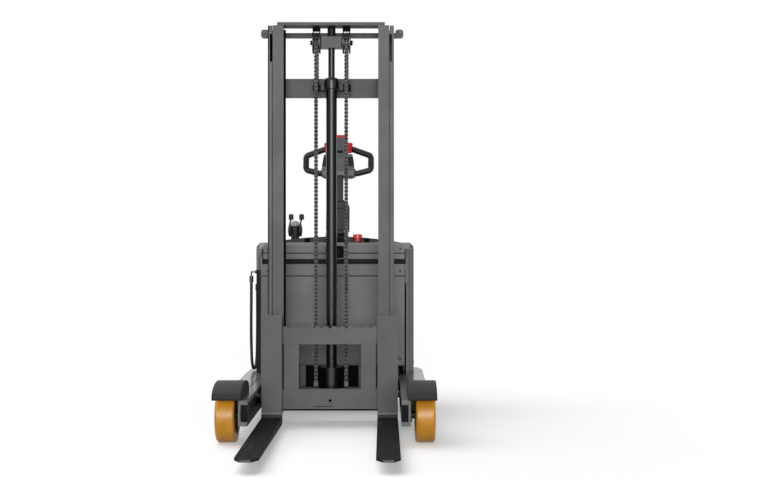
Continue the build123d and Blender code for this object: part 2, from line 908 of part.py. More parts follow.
with BuildPart() as leg:
    with BuildSketch(Plane.XZ.offset(-leg_back_y)):
        with Locations((leg_tip_x, leg_rise)):
            Rectangle(leg_channel_width, leg_height, align=(Align.MIN, Align.MIN))
        with Locations((leg_tip_x, reach_roller_z)):
            Rectangle(
                leg_channel_width - leg_web,
                leg_height - 2 * leg_flange,
                align=(Align.MIN, Align.CENTER),
                mode=Mode.SUBTRACT,
            )
    extrude(amount=leg_back_y - leg_front_y)
    with BuildSketch(Plane.XY.offset(leg_rise)):
        with BuildLine():
            Polyline(
                (leg_web_x, leg_box_front_y),
                (leg_box_x, leg_box_front_y),
                (leg_box_x, leg_taper_y),
                (leg_box_x - leg_box_taper, leg_box_back_y),
                (leg_web_x, leg_box_back_y),
                close=True,
            )
        make_face()
    extrude(amount=leg_height)
    block(
        (leg_web_x + leg_box_wall, leg_box_x - leg_box_wall),
        (leg_box_front_y + leg_box_wall, leg_taper_y),
        (leg_rise, leg_top_z - leg_box_wall),
        Mode.SUBTRACT,
    )
    block(
        (leg_web_x, leg_web_x + leg_seam),
        (leg_box_front_y, leg_box_back_y),
        (leg_top_z - leg_seam, leg_top_z),
        Mode.SUBTRACT,
    )
    block(
        (leg_tip_x + slide_gap, leg_inner_web_x),
        (leg_stop_y, leg_stop_y + leg_stop_length),
        (leg_rise + leg_flange, leg_top_z - leg_flange),
    )
save_pair(leg, "leg")

# Load wheel axles: flanged stubs welded to the leg webs
axle_end_x = load_wheel_x + load_wheel_width - hub_dish / 2

with BuildPart() as load_axles:
    bar_across(load_axle_radius, (leg_web_x, axle_end_x), load_wheel_y, load_wheel_radius)
    bar_across(
        load_axle_flange,
        (leg_web_x, leg_web_x + load_axle_shoulder),
        load_wheel_y,
        load_wheel_radius,
    )
    mirror(about=Plane.YZ)
save(load_axles, "load_axles")

# Load wheels: solid tyre on a dished hub
with BuildPart() as load_wheel:
    bar_across(
        load_wheel_radius,
        (load_wheel_x, load_wheel_x + load_wheel_width),
        load_wheel_y,
        load_wheel_radius,
    )
    tyre_edges = load_wheel.edges().filter_by(GeomType.CIRCLE)
    fillet(tyre_edges, radius=load_wheel_round)
    for dish_x in (load_wheel_x, load_wheel_x + load_wheel_width - hub_dish):
        with BuildSketch(Plane.YZ.offset(dish_x)):
            with Locations((load_wheel_y, load_wheel_radius)):
                Circle(hub_radius + load_axle_flange)
                Circle(hub_radius, mode=Mode.SUBTRACT)
        extrude(amount=hub_dish, mode=Mode.SUBTRACT)
    bar_across(
        load_axle_radius + shaft_gap,
        (load_wheel_x, load_wheel_x + load_wheel_width),
        load_wheel_y,
        load_wheel_radius,
        Mode.SUBTRACT,
    )
save_pair(load_wheel, "load_wheel")

# Fenders: an oval band over each load wheel, curled under at its ends, closed on the inside
with BuildPart() as fender:
    with BuildSketch(Plane.YZ.offset(fender_x)):
        with Locations((load_wheel_y, leg_top_z + fender_rise)):
            Ellipse(fender_reach, fender_crown)
        with Locations((load_wheel_y, leg_top_z)):
            Rectangle(
                2 * fender_reach,
                2 * fender_crown,
                align=(Align.CENTER, Align.MAX),
                mode=Mode.SUBTRACT,
            )
    extrude(amount=fender_width)
    with BuildSketch(Plane.YZ.offset(fender_x + fender_wall)):
        with Locations((load_wheel_y, leg_top_z + fender_rise)):
            Ellipse(fender_reach - fender_wall, fender_crown - fender_wall)
    extrude(amount=fender_width, mode=Mode.SUBTRACT)
save_pair(fender, "fender")

# Reach frame: side plates along the legs, foot plate under the mast, ribbed tie behind it
reach_front_y = rail_front_y - reach_plate_lead
reach_back_y = reach_front_y + reach_plate_length
reach_bottom_z = foot_top_z - reach_foot
reach_low_z = reach_roller_z + reach_roller_radius
reach_tie_top_z = foot_top_z + reach_rib_height
reach_rib_x = reach_rib_spread / 2

with BuildPart() as reach_frame:
    with BuildSketch(Plane.YZ.offset(outer_rail_x)):
        with BuildLine():
            Polyline(
                (reach_front_y, reach_bottom_z),
                (reach_back_y, reach_bottom_z),
                (reach_back_y, reach_low_z),
                (rail_back_y + reach_plate_lead, reach_bottom_z + reach_plate_height),
                (rail_front_y, reach_bottom_z + reach_plate_height),
                (reach_front_y, reach_low_z),
                close=True,
            )
        make_face()
    extrude(amount=reach_plate)
    block(
        (reach_rib_x, reach_rib_x + reach_rib_width),
        (rail_back_y + rail_gap / 2, reach_tie_y),
        (foot_top_z, reach_tie_top_z),
    )
    mirror(about=Plane.YZ)
    block(
        (-outer_rail_x, outer_rail_x),
        (rail_front_y, reach_tie_y + reach_tie),
        (reach_bottom_z, foot_top_z),
    )
    block(
        (-outer_rail_x, outer_rail_x),
        (reach_tie_y, reach_tie_y + reach_tie),
        (foot_top_z, reach_tie_top_z),
    )
save(reach_frame, "reach_frame")

# Reach rollers on stubs, two in each leg channel
reach_roller_x = leg_inner_web_x - rail_gap / 2 - reach_roller_width

with BuildPart() as reach_rollers:
    for roller_y in (reach_roller_y, reach_roller_y + reach_roller_base):
        bar_across(
            reach_roller_radius,
            (reach_roller_x, reach_roller_x + reach_roller_width),
            roller_y,
            reach_roller_z,
        )
        bar_across(reach_axle_radius, (reach_plate_x, reach_roller_x), roller_y, reach_roller_z)
    mirror(about=Plane.YZ)
save(reach_rollers, "reach_rollers")

# Reach cylinder under the battery, fixed to the chassis, and its rod on the reach frame
reach_tube_y = face_y + reach_cylinder_setback
reach_gland_y = reach_tube_y + reach_gland
reach_rod_end_y = reach_tube_y + reach_stroke + reach_rod_overlap
reach_tube_end_y = reach_rod_end_y + reach_gland

with BuildPart() as reach_cylinder:
    bar_along(
        reach_cylinder_radius,
        reach_cylinder_x,
        (reach_tube_y, reach_tube_end_y),
        reach_cylinder_z,
    )
    bar_along(
        reach_cylinder_bore,
        reach_cylinder_x,
        (reach_gland_y, reach_tube_end_y - reach_gland / 2),
        reach_cylinder_z,
        Mode.SUBTRACT,
    )
    bar_along(
        reach_rod_radius + shaft_gap,
        reach_cylinder_x,
        (reach_tube_y, reach_gland_y),
        reach_cylinder_z,
        Mode.SUBTRACT,
    )
save(reach_cylinder, "reach_cylinder")

with BuildPart() as reach_rod:
    bar_along(
        reach_rod_radius,
        reach_cylinder_x,
        (reach_tie_y + reach_tie, reach_rod_end_y),
        reach_cylinder_z,
    )
    bar_along(
        reach_cylinder_bore - shaft_gap,
        reach_cylinder_x,
        (reach_rod_end_y - reach_gland, reach_rod_end_y),
        reach_cylinder_z,
    )
save(reach_rod, "reach_rod")

# Chassis frame: battery box on the legs, bulkhead, motor plate, caster pads, reach cylinder lug
rear_inside_x = body_x - cover_wall
rear_inside_y = rear_cover_back_y - cover_wall
frame_front_y = body_front_y + crossbar_inset
crossbar_z = hood_face_bottom_z - crossbar_height
bulkhead_back_y = bulkhead_y + frame_plate
reach_cylinder_notch = reach_cylinder_radius + panel_gap
caster_x = caster_spacing / 2

with BuildPart() as chassis_frame:
    block(
        (-leg_inner_web_x, leg_inner_web_x),
        (body_front_y + cover_wall, bulkhead_back_y),
        (panel_bottom_z, tray_top_z),
    )
    block(
        (-leg_inner_web_x, leg_inner_web_x),
        (bulkhead_y, bulkhead_back_y),
        (leg_top_z, hood_face_bottom_z),
    )
    block(
        (reach_cylinder_x - reach_cylinder_notch, reach_cylinder_x + reach_cylinder_notch),
        (bulkhead_y, bulkhead_back_y),
        (leg_top_z, panel_bottom_z),
        Mode.SUBTRACT,
    )
    block(
        (-leg_inner_web_x, leg_inner_web_x),
        (frame_front_y, frame_front_y + frame_plate),
        (crossbar_z, hood_face_bottom_z),
    )
    for side in (-1, 1):
        wall_x = sorted((side * frame_wall_x, side * leg_inner_web_x))
        block(wall_x, (frame_front_y, bulkhead_back_y), (leg_top_z, hood_face_bottom_z))
        pad_x = (side * caster_x - caster_pad_width / 2, side * caster_x + caster_pad_width / 2)
        pad_y = (caster_y - caster_pad_width / 2, caster_y + caster_pad_width / 2)
        block(pad_x, pad_y, (caster_pad_z, motor_plate_z))
        post(
            caster_stem_radius + shaft_gap,
            side * caster_x,
            caster_y,
            (caster_pad_z, caster_pad_z + caster_stem_length),
            Mode.SUBTRACT,
        )
    with BuildSketch(Plane.XY.offset(motor_plate_z)) as motor_plate_plan:
        with Locations((0, bulkhead_back_y)):
            Rectangle(
                2 * rear_inside_x,
                rear_inside_y - bulkhead_back_y,
                align=(Align.CENTER, Align.MIN),
            )
        back_corners = motor_plate_plan.vertices().group_by(Axis.Y)[-1]
        fillet(back_corners, radius=rear_corner_round - cover_wall)
        with Locations((0, steer_y)):
            Circle(turntable_neck_radius + slide_gap, mode=Mode.SUBTRACT)
    extrude(amount=motor_plate)
    block(
        (reach_cylinder_x - reach_lug_half, reach_cylinder_x + reach_lug_half),
        (reach_tube_end_y, reach_tube_end_y + reach_lug_half),
        (reach_cylinder_z - reach_lug_half, motor_plate_z),
    )
save(chassis_frame, "chassis_frame")

# Front panel with its seam, between the two slots beside the corner panels
front_panel_half = body_front_x - corner_slot

with BuildPart() as front_panel:
    block(
        (-front_panel_half, front_panel_half),
        (body_front_y, body_front_y + cover_wall),
        (panel_bottom_z, panel_top_z),
    )
    block(
        (-front_panel_half, front_panel_half),
        (body_front_y, body_front_y + seam_depth),
        (seam_z, seam_z + seam_width),
        Mode.SUBTRACT,
    )
save(front_panel, "front_panel")

# Side panels: slanted front corner and flat flank, standing on the legs under the hood
with BuildPart() as side_panel:
    with BuildSketch(Plane.XY.offset(leg_top_z)):
        with BuildLine():
            Polyline((body_front_x, body_front_y), (body_x, body_shoulder_y), (body_x, hood_back_y))
            offset(amount=cover_wall, side=Side.LEFT, closed=True)
        make_face()
    extrude(amount=hood_plate_z - leg_top_z)
save_pair(side_panel, "side_panel")

# Hood: chamfered lid with a nose over the front panel, a crowned dash and a latch recess
nose_back_y = body_front_y + recess_depth + cover_wall
recess_top_z = body_top_z - recess_drop

with BuildPart() as hood:
    with BuildSketch(Plane.XY.offset(hood_plate_z)):
        with BuildLine():
            Polyline(
                (-body_front_x, body_front_y),
                (body_front_x, body_front_y),
                (body_x, body_shoulder_y),
                (body_x, hood_back_y),
                (-body_x, hood_back_y),
                (-body_x, body_shoulder_y),
                close=True,
            )
        make_face()
    extrude(amount=hood_plate)
    lid = hood.faces().sort_by(Axis.Z)[-1]
    shoulders = lid.edges().filter_by(Axis.X, reverse=True)
    chamfer(shoulders, length=hood_shoulder_width, length2=hood_shoulder_height, reference=lid)
    lid_edges = hood.faces().sort_by(Axis.Z)[-1].edges().filter_by(Axis.X)
    chamfer(lid_edges, length=hood_chamfer)
    block(
        (-front_panel_half, front_panel_half),
        (nose_back_y, hood_back_y - hood_chamfer - cover_wall),
        (hood_plate_z, body_top_z - hood_lid),
        Mode.SUBTRACT,
    )
    block(
        (-front_panel_half, front_panel_half),
        (body_front_y, nose_back_y),
        (hood_face_bottom_z, hood_plate_z),
    )
    block(
        (-front_panel_half, front_panel_half),
        (body_front_y, body_front_y + seam_depth),
        (hood_groove_z, hood_groove_z + seam_width),
        Mode.SUBTRACT,
    )
    block(
        (recess_x - recess_width / 2, recess_x + recess_width / 2),
        (body_front_y, body_front_y + recess_depth),
        (recess_top_z - recess_height, recess_top_z),
        Mode.SUBTRACT,
    )
    with BuildSketch(Plane.XZ.offset(-hood_back_y)):
        with BuildLine():
            ThreePointArc(
                (-dash_width / 2, body_top_z),
                (0, body_top_z + dash_rise),
                (dash_width / 2, body_top_z),
            )
            Line((dash_width / 2, body_top_z), (-dash_width / 2, body_top_z))
        make_face()
    extrude(amount=dash_length)
    block(
        (lever_x - console_half - slide_gap, lever_x + console_half + slide_gap),
        (lever_y - console_length / 2 - slide_gap, lever_y + console_length / 2 + slide_gap),
        (body_top_z, body_top_z + dash_rise),
        Mode.SUBTRACT,
    )
    post(
        stop_stem_radius + slide_gap,
        stop_x,
        stop_y,
        (hood_plate_z, body_top_z),
        Mode.SUBTRACT,
    )
save(hood, "hood")

# Rear cover: round-cornered tub over the drive, open below, with the steering column's hole
with BuildPart() as rear_cover:
    with BuildSketch(Plane.XY.offset(skirt_z)) as cover_plan:
        with Locations((0, rear_cover_front_y)):
            Rectangle(body_width, rear_cover_length, align=(Align.CENTER, Align.MIN))
        fillet(cover_plan.vertices().group_by(Axis.Y)[-1], radius=rear_corner_round)
    extrude(amount=rear_cover_top_z - skirt_z)
    with BuildSketch(Plane.XY.offset(skirt_z)) as cover_hollow:
        with Locations((0, rear_cover_front_y)):
            Rectangle(
                2 * rear_inside_x,
                rear_cover_length - cover_wall,
                align=(Align.CENTER, Align.MIN),
            )
        fillet(cover_hollow.vertices().group_by(Axis.Y)[-1], radius=rear_corner_round - cover_wall)
    extrude(amount=rear_cover_top_z - cover_wall - skirt_z, mode=Mode.SUBTRACT)
    post(column_hole_radius, 0, steer_y, (skirt_z, rear_cover_top_z), Mode.SUBTRACT)
save(rear_cover, "rear_panel")

# Traction battery on its tray, with filler caps in rows
battery_front_y = body_front_y + cover_wall + battery_gap
battery_back_y = bulkhead_y - battery_gap
battery_top_z = tray_top_z + battery_height
cap_radius = battery_gap
cap_pitch_x = battery_width / cap_columns
cap_pitch_y = (battery_back_y - battery_front_y) / cap_rows

with BuildPart() as battery:
    block(
        (-battery_width / 2, battery_width / 2),
        (battery_front_y, battery_back_y),
        (tray_top_z, battery_top_z),
    )
    chamfer(battery.edges().filter_by(Axis.Z), length=battery_edge)
    with Locations((0, (battery_front_y + battery_back_y) / 2, battery_top_z)):
        with GridLocations(cap_pitch_x, cap_pitch_y, cap_columns, cap_rows):
            Cylinder(cap_radius, battery_edge, align=(Align.CENTER, Align.CENTER, Align.MIN))
save(battery, "battery")

# Hydraulic pump motor and oil tank on a common base
pump_y = steer_y - tank_length / 2
tank_y = pump_y + pump_motor_radius + tank_gap + tank_length / 2

with BuildPart() as pump_unit:
    block(
        (pump_x - tank_width / 2, pump_x + tank_width / 2),
        (pump_y - pump_motor_radius, tank_y + tank_length / 2),
        (motor_plate_top_z, motor_plate_top_z + motor_plate),
    )
    post(
        pump_motor_radius,
        pump_x,
        pump_y,
        (motor_plate_top_z, motor_plate_top_z + pump_motor_height),
    )
    with BuildSketch(Plane.XY.offset(motor_plate_top_z)):
        with Locations((pump_x, tank_y)):
            RectangleRounded(tank_width, tank_length, battery_gap)
    extrude(amount=tank_height)
save(pump_unit, "pump_unit")

# Motor controller with cooling fins
with BuildPart() as controller:
    with Locations((controller_x, steer_y, motor_plate_top_z)):
        Box(
            controller_width,
            controller_length,
            controller_base,
            align=(Align.CENTER, Align.CENTER, Align.MIN),
        )
        with GridLocations((controller_width - fin_thickness) / (fin_count - 1), 1, fin_count, 1):
            Box(
                fin_thickness,
                controller_length,
                controller_height,
                align=(Align.CENTER, Align.CENTER, Align.MIN),
            )
save(controller, "controller")

# Hydraulic valve block on the bulkhead, under the levers
valve_top_z = hood_plate_z - valve_drop

with BuildPart() as valve_block:
    block(
        (lever_x - valve_width / 2, lever_x + valve_width / 2),
        (bulkhead_back_y, bulkhead_back_y + valve_length),
        (valve_top_z - valve_height, valve_top_z),
    )
    chamfer(valve_block.edges().filter_by(Axis.X), length=battery_edge)
save(valve_block, "valve_block")

# Drive unit: motor on the turntable, gearbox leg beside the wheel, axle through the wheel
wheel_half = drive_wheel_width / 2
gearbox_x = wheel_half + gearbox_gap
flange_z = motor_plate_top_z + slide_gap
neck_z = flange_z - turntable_drop
motor_z = flange_z + turntable_plate
motor_top_z = motor_z + motor_height
gearbox_round = drive_wheel_radius - gearbox_rise

with BuildPart() as drive_unit:
    post(turntable_radius, 0, steer_y, (flange_z, motor_z))
    post(turntable_neck_radius, 0, steer_y, (neck_z, flange_z))
    post(motor_radius, 0, steer_y, (motor_z, motor_top_z))
    with BuildSketch(Plane.YZ.offset(gearbox_x)):
        with Locations((steer_y, drive_wheel_radius)):
            Circle(gearbox_round)
        with Locations((steer_y, neck_z)):
            Rectangle(gearbox_length, turntable_plate, align=(Align.CENTER, Align.MIN))
        make_hull()
    extrude(amount=gearbox_width)
    bar_across(drive_axle_radius, (-gearbox_x, gearbox_x), steer_y, drive_wheel_radius)
    bar_across(
        drive_axle_radius + gearbox_gap,
        (-gearbox_x, -wheel_half - slide_gap),
        steer_y,
        drive_wheel_radius,
    )
save(drive_unit, "drive_unit")

# Drive wheel
with BuildPart() as drive_wheel:
    bar_across(drive_wheel_radius, (-wheel_half, wheel_half), steer_y, drive_wheel_radius)
    fillet(drive_wheel.edges().filter_by(GeomType.CIRCLE), radius=gearbox_gap)
    bar_across(
        drive_axle_radius + shaft_gap,
        (-wheel_half, wheel_half),
        steer_y,
        drive_wheel_radius,
        Mode.SUBTRACT,
    )
save(drive_wheel, "drive_wheel")

# Steering column from the motor up to the yoke that holds the tiller's pivot pin
yoke_bottom_z = rear_cover_top_z + yoke_gap
yoke_top_z = tiller_pivot_z + yoke_round
yoke_x = yoke_width / 2
ear_outer_x = yoke_x + yoke_ear

with BuildPart() as steer_column:
    post(column_radius, 0, steer_y, (motor_top_z, yoke_top_z))
    block(
        (-ear_outer_x, ear_outer_x),
        (steer_y - yoke_block / 2, steer_y + yoke_block / 2),
        (yoke_bottom_z, yoke_top_z),
    )
    for ear_start in (-ear_outer_x, yoke_x):
        with BuildSketch(Plane.YZ.offset(ear_start)):
            with Locations((tiller_y, tiller_pivot_z)):
                Circle(yoke_round)
            with Locations((steer_y, yoke_bottom_z)):
                Rectangle(yoke_block, yoke_top_z - yoke_bottom_z, align=(Align.CENTER, Align.MIN))
            make_hull()
        extrude(amount=yoke_ear)
    bar_across(tiller_pin_radius, (-ear_outer_x, ear_outer_x), tiller_y, tiller_pivot_z)
save(steer_column, "steer_column")

# Casters: swivel fork with stem and axle, and the wheel between its cheeks
cheek_inner_x = caster_wheel_width / 2 + rail_gap
cheek_outer_x = cheek_inner_x + caster_cheek
caster_plate_top_z = caster_pad_z - slide_gap
caster_plate_z = caster_plate_top_z - caster_plate
caster_axle_y = caster_y - caster_trail

with BuildPart() as caster:
    post(caster_plate_radius, caster_x, caster_y, (caster_plate_z, caster_plate_top_z))
    post(
        caster_stem_radius,
        caster_x,
        caster_y,
        (caster_plate_top_z, caster_pad_z + caster_stem_length - slide_gap),
    )
    for cheek_start in (caster_x - cheek_outer_x, caster_x + cheek_inner_x):
        with BuildSketch(Plane.YZ.offset(cheek_start)):
            with Locations((caster_axle_y, caster_wheel_radius)):
                Circle(2 * caster_axle_radius)
            with Locations((caster_y, caster_plate_z)):
                Rectangle(caster_plate_radius, caster_plate, align=(Align.CENTER, Align.MIN))
            make_hull()
        extrude(amount=caster_cheek)
    bar_across(
        caster_axle_radius,
        (caster_x - cheek_outer_x, caster_x + cheek_outer_x),
        caster_axle_y,
        caster_wheel_radius,
    )
save_pair(caster, "caster")

with BuildPart() as caster_wheel:
    caster_wheel_span = (caster_x - caster_wheel_width / 2, caster_x + caster_wheel_width / 2)
    bar_across(caster_wheel_radius, caster_wheel_span, caster_axle_y, caster_wheel_radius)
    fillet(caster_wheel.edges().filter_by(GeomType.CIRCLE), radius=caster_axle_radius)
    bar_across(
        caster_axle_radius + shaft_gap,
        caster_wheel_span,
        caster_axle_y,
        caster_wheel_radius,
        Mode.SUBTRACT,
    )
save_pair(caster_wheel, "caster_wheel")

# Tiller arm: pivot hub between the yoke ears, square tube and the arched cover round its foot
cover_half = arm_cover_width / 2
arch_start = arm_cover_end - arm_cover_arch

with BuildPart() as tiller_arm:
    with BuildSketch(tiller_plane):
        Rectangle(arm_width, head_start, align=(Align.CENTER, Align.MIN))
    extrude(amount=arm_depth / 2, both=True)
    with BuildSketch(tiller_plane):
        with BuildLine():
            Polyline(
                (-cover_half, arch_start),
                (-cover_half, arm_cover_start),
                (cover_half, arm_cover_start),
                (cover_half, arch_start),
            )
            ThreePointArc((cover_half, arch_start), (0, arm_cover_end), (-cover_half, arch_start))
        make_face()
    extrude(amount=arm_cover_depth / 2, both=True)
    hub_half = yoke_x - slide_gap
    bar_across(yoke_round, (-hub_half, hub_half), tiller_y, tiller_pivot_z)
    bar_across(
        tiller_pin_radius + shaft_gap,
        (-hub_half, hub_half),
        tiller_y,
        tiller_pivot_z,
        Mode.SUBTRACT,
    )
save(tiller_arm, "tiller_arm")

# Control head: rounded body, narrow top with the throttle bore and the belly button's pocket
stem_start = head_start + head_length
stem_middle = (stem_front - stem_back) / 2
stem_depth = stem_front + stem_back
throttle_y = tiller_y + throttle_reach * lean_sine - throttle_front * lean_cosine
throttle_z = tiller_pivot_z + throttle_reach * lean_cosine + throttle_front * lean_sine
head_top_plane = Plane(
    origin=(0, tiller_y + stem_end * lean_sine, tiller_pivot_z + stem_end * lean_cosine),
    x_dir=(1, 0, 0),
    z_dir=(0, lean_sine, lean_cosine),
)

with BuildPart() as tiller_head:
    with BuildSketch(tiller_plane) as head_outline:
        head_foot = (head_width / 2, head_start)
        head_side = (head_middle_width / 2, head_start + head_length / 2)
        head_top = (head_top_width / 2, stem_start)
        with BuildLine():
            Line((0, head_start), head_foot)
            ThreePointArc(head_foot, head_side, head_top)
            Line(head_top, (0, stem_start))
            mirror(about=Plane.YZ)
        make_face()
        fillet(head_outline.vertices().group_by(Axis.Y)[-1], radius=head_round)
        fillet(head_outline.vertices().group_by(Axis.Y)[0], radius=head_foot_round)
    extrude(amount=head_depth / 2, both=True)
    with BuildSketch(head_top_plane):
        with Locations((0, -stem_middle)):
            RectangleRounded(stem_width, stem_depth, stem_round)
    extrude(amount=-stem_length - head_round)
    stem_top = tiller_head.faces().sort_by(Axis(head_top_plane.origin, head_top_plane.z_dir))[-1]
    fillet(stem_top.edges(), radius=stem_round - slide_gap)
    with BuildSketch(head_top_plane):
        with Locations((0, -stem_middle)):
            Rectangle(belly_width + 2 * slide_gap, belly_depth + 2 * slide_gap)
    extrude(amount=-belly_seat - belly_travel - slide_gap, mode=Mode.SUBTRACT)
    bar_across(
        throttle_shaft_radius + shaft_gap,
        (-stem_width / 2, stem_width / 2),
        throttle_y,
        throttle_z,
        Mode.SUBTRACT,
    )
save(tiller_head, "tiller_head")

# Handle loop: a bent grip tube on each side, from the narrow top round to the head
grip_x = handle_width / 2 - grip_radius
root_run = grip_radius

with BuildPart() as tiller_handle:
    with BuildLine(tiller_plane.offset(-handle_set_back)) as grip_path:
        FilletPolyline(
            (stem_width / 2, handle_high_root),
            (stem_width / 2 + root_run, handle_high_root),
            (grip_x, handle_high),
            (grip_x, handle_low),
            (head_width / 2 + root_run, handle_low_root),
            (head_width / 2, handle_low_root),
            radius=grip_bend,
        )
    with BuildSketch(Plane(grip_path.line @ 0, z_dir=grip_path.line % 0)):
        Circle(grip_radius)
    sweep(path=grip_path.line)
    mirror(about=Plane.YZ)
save(tiller_handle, "tiller_handle")

# Throttle: two thumb wings, wider at the top, on one shaft through the control head
wing_in_x = stem_width / 2 + wing_gap
wing_out_x = wing_in_x + wing_width
wing_waist_x = wing_out_x - wing_waist
wing_low = throttle_reach - wing_length / 2
wing_high = throttle_reach + wing_length / 2

with BuildPart() as throttle:
    with BuildSketch(tiller_plane.offset(throttle_front - wing_thickness / 2)) as wing:
        with BuildLine():
            Polyline(
                (wing_in_x, wing_low),
                (wing_waist_x, wing_low),
                (wing_waist_x, throttle_reach),
                (wing_out_x, wing_high - wing_waist),
                (wing_waist_x, wing_high),
                (wing_in_x, wing_high),
                close=True,
            )
        make_face()
        fillet(wing.vertices(), radius=wing_round)
    extrude(amount=wing_thickness)
    mirror(about=Plane.YZ)
    bar_across(throttle_shaft_radius, (-wing_waist_x, wing_waist_x), throttle_y, throttle_z)
save(throttle, "throttle")

# Belly button in the top of the control head
with BuildPart() as belly_button:
    with BuildSketch(head_top_plane.offset(-belly_seat)):
        with Locations((0, -stem_middle)):
            Rectangle(belly_width, belly_depth)
    extrude(amount=belly_seat + belly_rise)
    fillet(belly_button.faces().sort_by(Axis.Z)[-1].edges(), radius=stem_round)
save(belly_button, "belly_button")

# Lever console: domed housing between the levers, with their pivot pin through it
lever_pin_half = lever_spacing / 2 + lever_hub_half + lever_hub_bulge
lever_pin_x = (lever_x - lever_pin_half, lever_x + lever_pin_half)
lever_sides = {"left": -1, "right": 1}
lever_places = {side: lever_x + sign * lever_spacing / 2 for side, sign in lever_sides.items()}

with BuildPart() as lever_console:
    with BuildSketch(Plane.XY.offset(body_top_z)):
        with Locations((lever_x, lever_y)):
            RectangleRounded(2 * console_half, console_length, console_round)
    extrude(amount=console_top_z - body_top_z)
    fillet(lever_console.faces().sort_by(Axis.Z)[-1].edges(), radius=console_dome)
    bar_across(lever_pin_radius, lever_pin_x, lever_y, lever_pivot_z)
save(lever_console, "lever_console")

# Hydraulic levers: domed hub on the pivot pin, cranked arm, round knob
knob_bottom_z = lever_top_z - lever_knob_height
hub_rim_z = lever_pivot_z + lever_hub_radius
arm_half = lever_arm / 2

for side_name, sign in lever_sides.items():
    place_x = lever_places[side_name]
    knob_x = place_x + lever_crank
    hub_in_x = place_x - sign * lever_hub_half
    hub_out_x = place_x + sign * lever_hub_half
    cap_x = hub_out_x + sign * lever_hub_bulge
    with BuildPart() as lever:
        with BuildSketch(Plane.XZ.offset(-lever_y)):
            with BuildLine():
                Polyline(
                    (hub_out_x, hub_rim_z),
                    (hub_in_x, hub_rim_z),
                    (hub_in_x, lever_pivot_z),
                    (cap_x, lever_pivot_z),
                )
                TangentArc((cap_x, lever_pivot_z), (hub_out_x, hub_rim_z), tangent=(0, 1))
            make_face()
        revolve(axis=Axis((0, lever_y, lever_pivot_z), (1, 0, 0)))
        with BuildSketch(Plane.XZ.offset(-lever_y)) as arm_side:
            with BuildLine():
                Polyline(
                    (place_x - arm_half, lever_pivot_z),
                    (place_x + arm_half, lever_pivot_z),
                    (place_x + arm_half, lever_bend_z),
                    (knob_x + arm_half, knob_bottom_z + lever_knob_round),
                    (knob_x - arm_half, knob_bottom_z + lever_knob_round),
                    (place_x - arm_half, lever_bend_z),
                    close=True,
                )
            make_face()
        extrude(arm_side.sketch, amount=arm_half, both=True)
        post(lever_knob_radius, knob_x, lever_y, (knob_bottom_z, lever_top_z))
        knob_rim = lever.edges().filter_by(GeomType.CIRCLE).sort_by(Axis.Z)[-1]
        fillet(knob_rim, radius=lever_knob_round)
        bar_across(
            lever_pin_radius + shaft_gap,
            lever_pin_x,
            lever_y,
            lever_pivot_z,
            Mode.SUBTRACT,
        )
    save(lever, f"lever_{side_name}")

# Emergency stop: mushroom head on a flared stem that slides through the hood
stop_top_z = body_top_z + stop_rise
stop_head_z = stop_top_z - stop_head_height
stop_flare = stop_head_radius - stop_stem_radius

with BuildPart() as e_stop:
    with BuildSketch(Plane.XZ.offset(-stop_y)):
        with BuildLine():
            Polyline(
                (stop_x, body_top_z - stop_depth),
                (stop_x + stop_stem_radius, body_top_z - stop_depth),
                (stop_x + stop_stem_radius, stop_head_z - stop_flare / 2),
                (stop_x + stop_head_radius, stop_head_z),
                (stop_x + stop_head_radius, stop_top_z),
                (stop_x, stop_top_z),
                close=True,
            )
        make_face()
    revolve(axis=Axis((stop_x, stop_y, 0), (0, 0, 1)))
    fillet(e_stop.faces().sort_by(Axis.Z)[-1].edges(), radius=stop_flare / 2)
save(e_stop, "e_stop")

# Hose loop: straight runs joined by arcs as large as the runs allow
hose_points = [Vector(hose_x + across, hose_y + along, z) for across, along, z in hose_route]
hose_bends = []
for before, corner, after in zip(hose_points, hose_points[1:], hose_points[2:]):
    run_in = corner - before
    run_out = after - corner
    half_turn = radians(run_in.get_angle(run_out)) / 2
    hose_bends.append(hose_bend_share * min(run_in.length, run_out.length) / tan(half_turn))
print("hose bend radii", [round(bend) for bend in hose_bends])

with BuildPart() as hose:
    with BuildLine() as hose_path:
        FilletPolyline(*hose_points, radius=hose_bends)
    with BuildSketch(Plane(hose_path.line @ 0, z_dir=hose_path.line % 0)):
        Circle(hose_radius)
    sweep(path=hose_path.line)
hose_length = sum(edge.length for edge in hose_path.edges())
print("hose volume", hose.part.volume, "of", pi * hose_radius**2 * hose_length)
save(hose, "hose")

# Hose fittings: crimped sleeve, bent neck and nut at each end, screwed into the left side
with BuildPart() as hose_fittings:
    for end, neck_rise in zip((hose_points[0], hose_points[-1]), hose_neck_rises):
        sleeve_top_z = end.Z + hose_sleeve_length
        neck_z = sleeve_top_z + neck_rise
        post(hose_sleeve_radius, end.X, end.Y, (end.Z, sleeve_top_z))
        post(hose_neck_radius, end.X, end.Y, (sleeve_top_z, neck_z))
        with Locations((end.X, end.Y, neck_z)):
            Sphere(hose_neck_radius)
        bar_across(hose_neck_radius, (end.X, -body_x), end.Y, neck_z)
        bar_across(hose_nut_radius, (-body_x - hose_nut_width, -body_x), end.Y, neck_z)
save(hose_fittings, "hose_fittings")
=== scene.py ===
"""Dresses the walk-behind reach stacker: finishes, chains, wheels, controls, fasteners and studio."""
import logging
import math
from dataclasses import dataclass, field
from enum import Enum
from typing import Any, Optional, Sequence

import bmesh
import bpy
from mathutils import Matrix, Vector


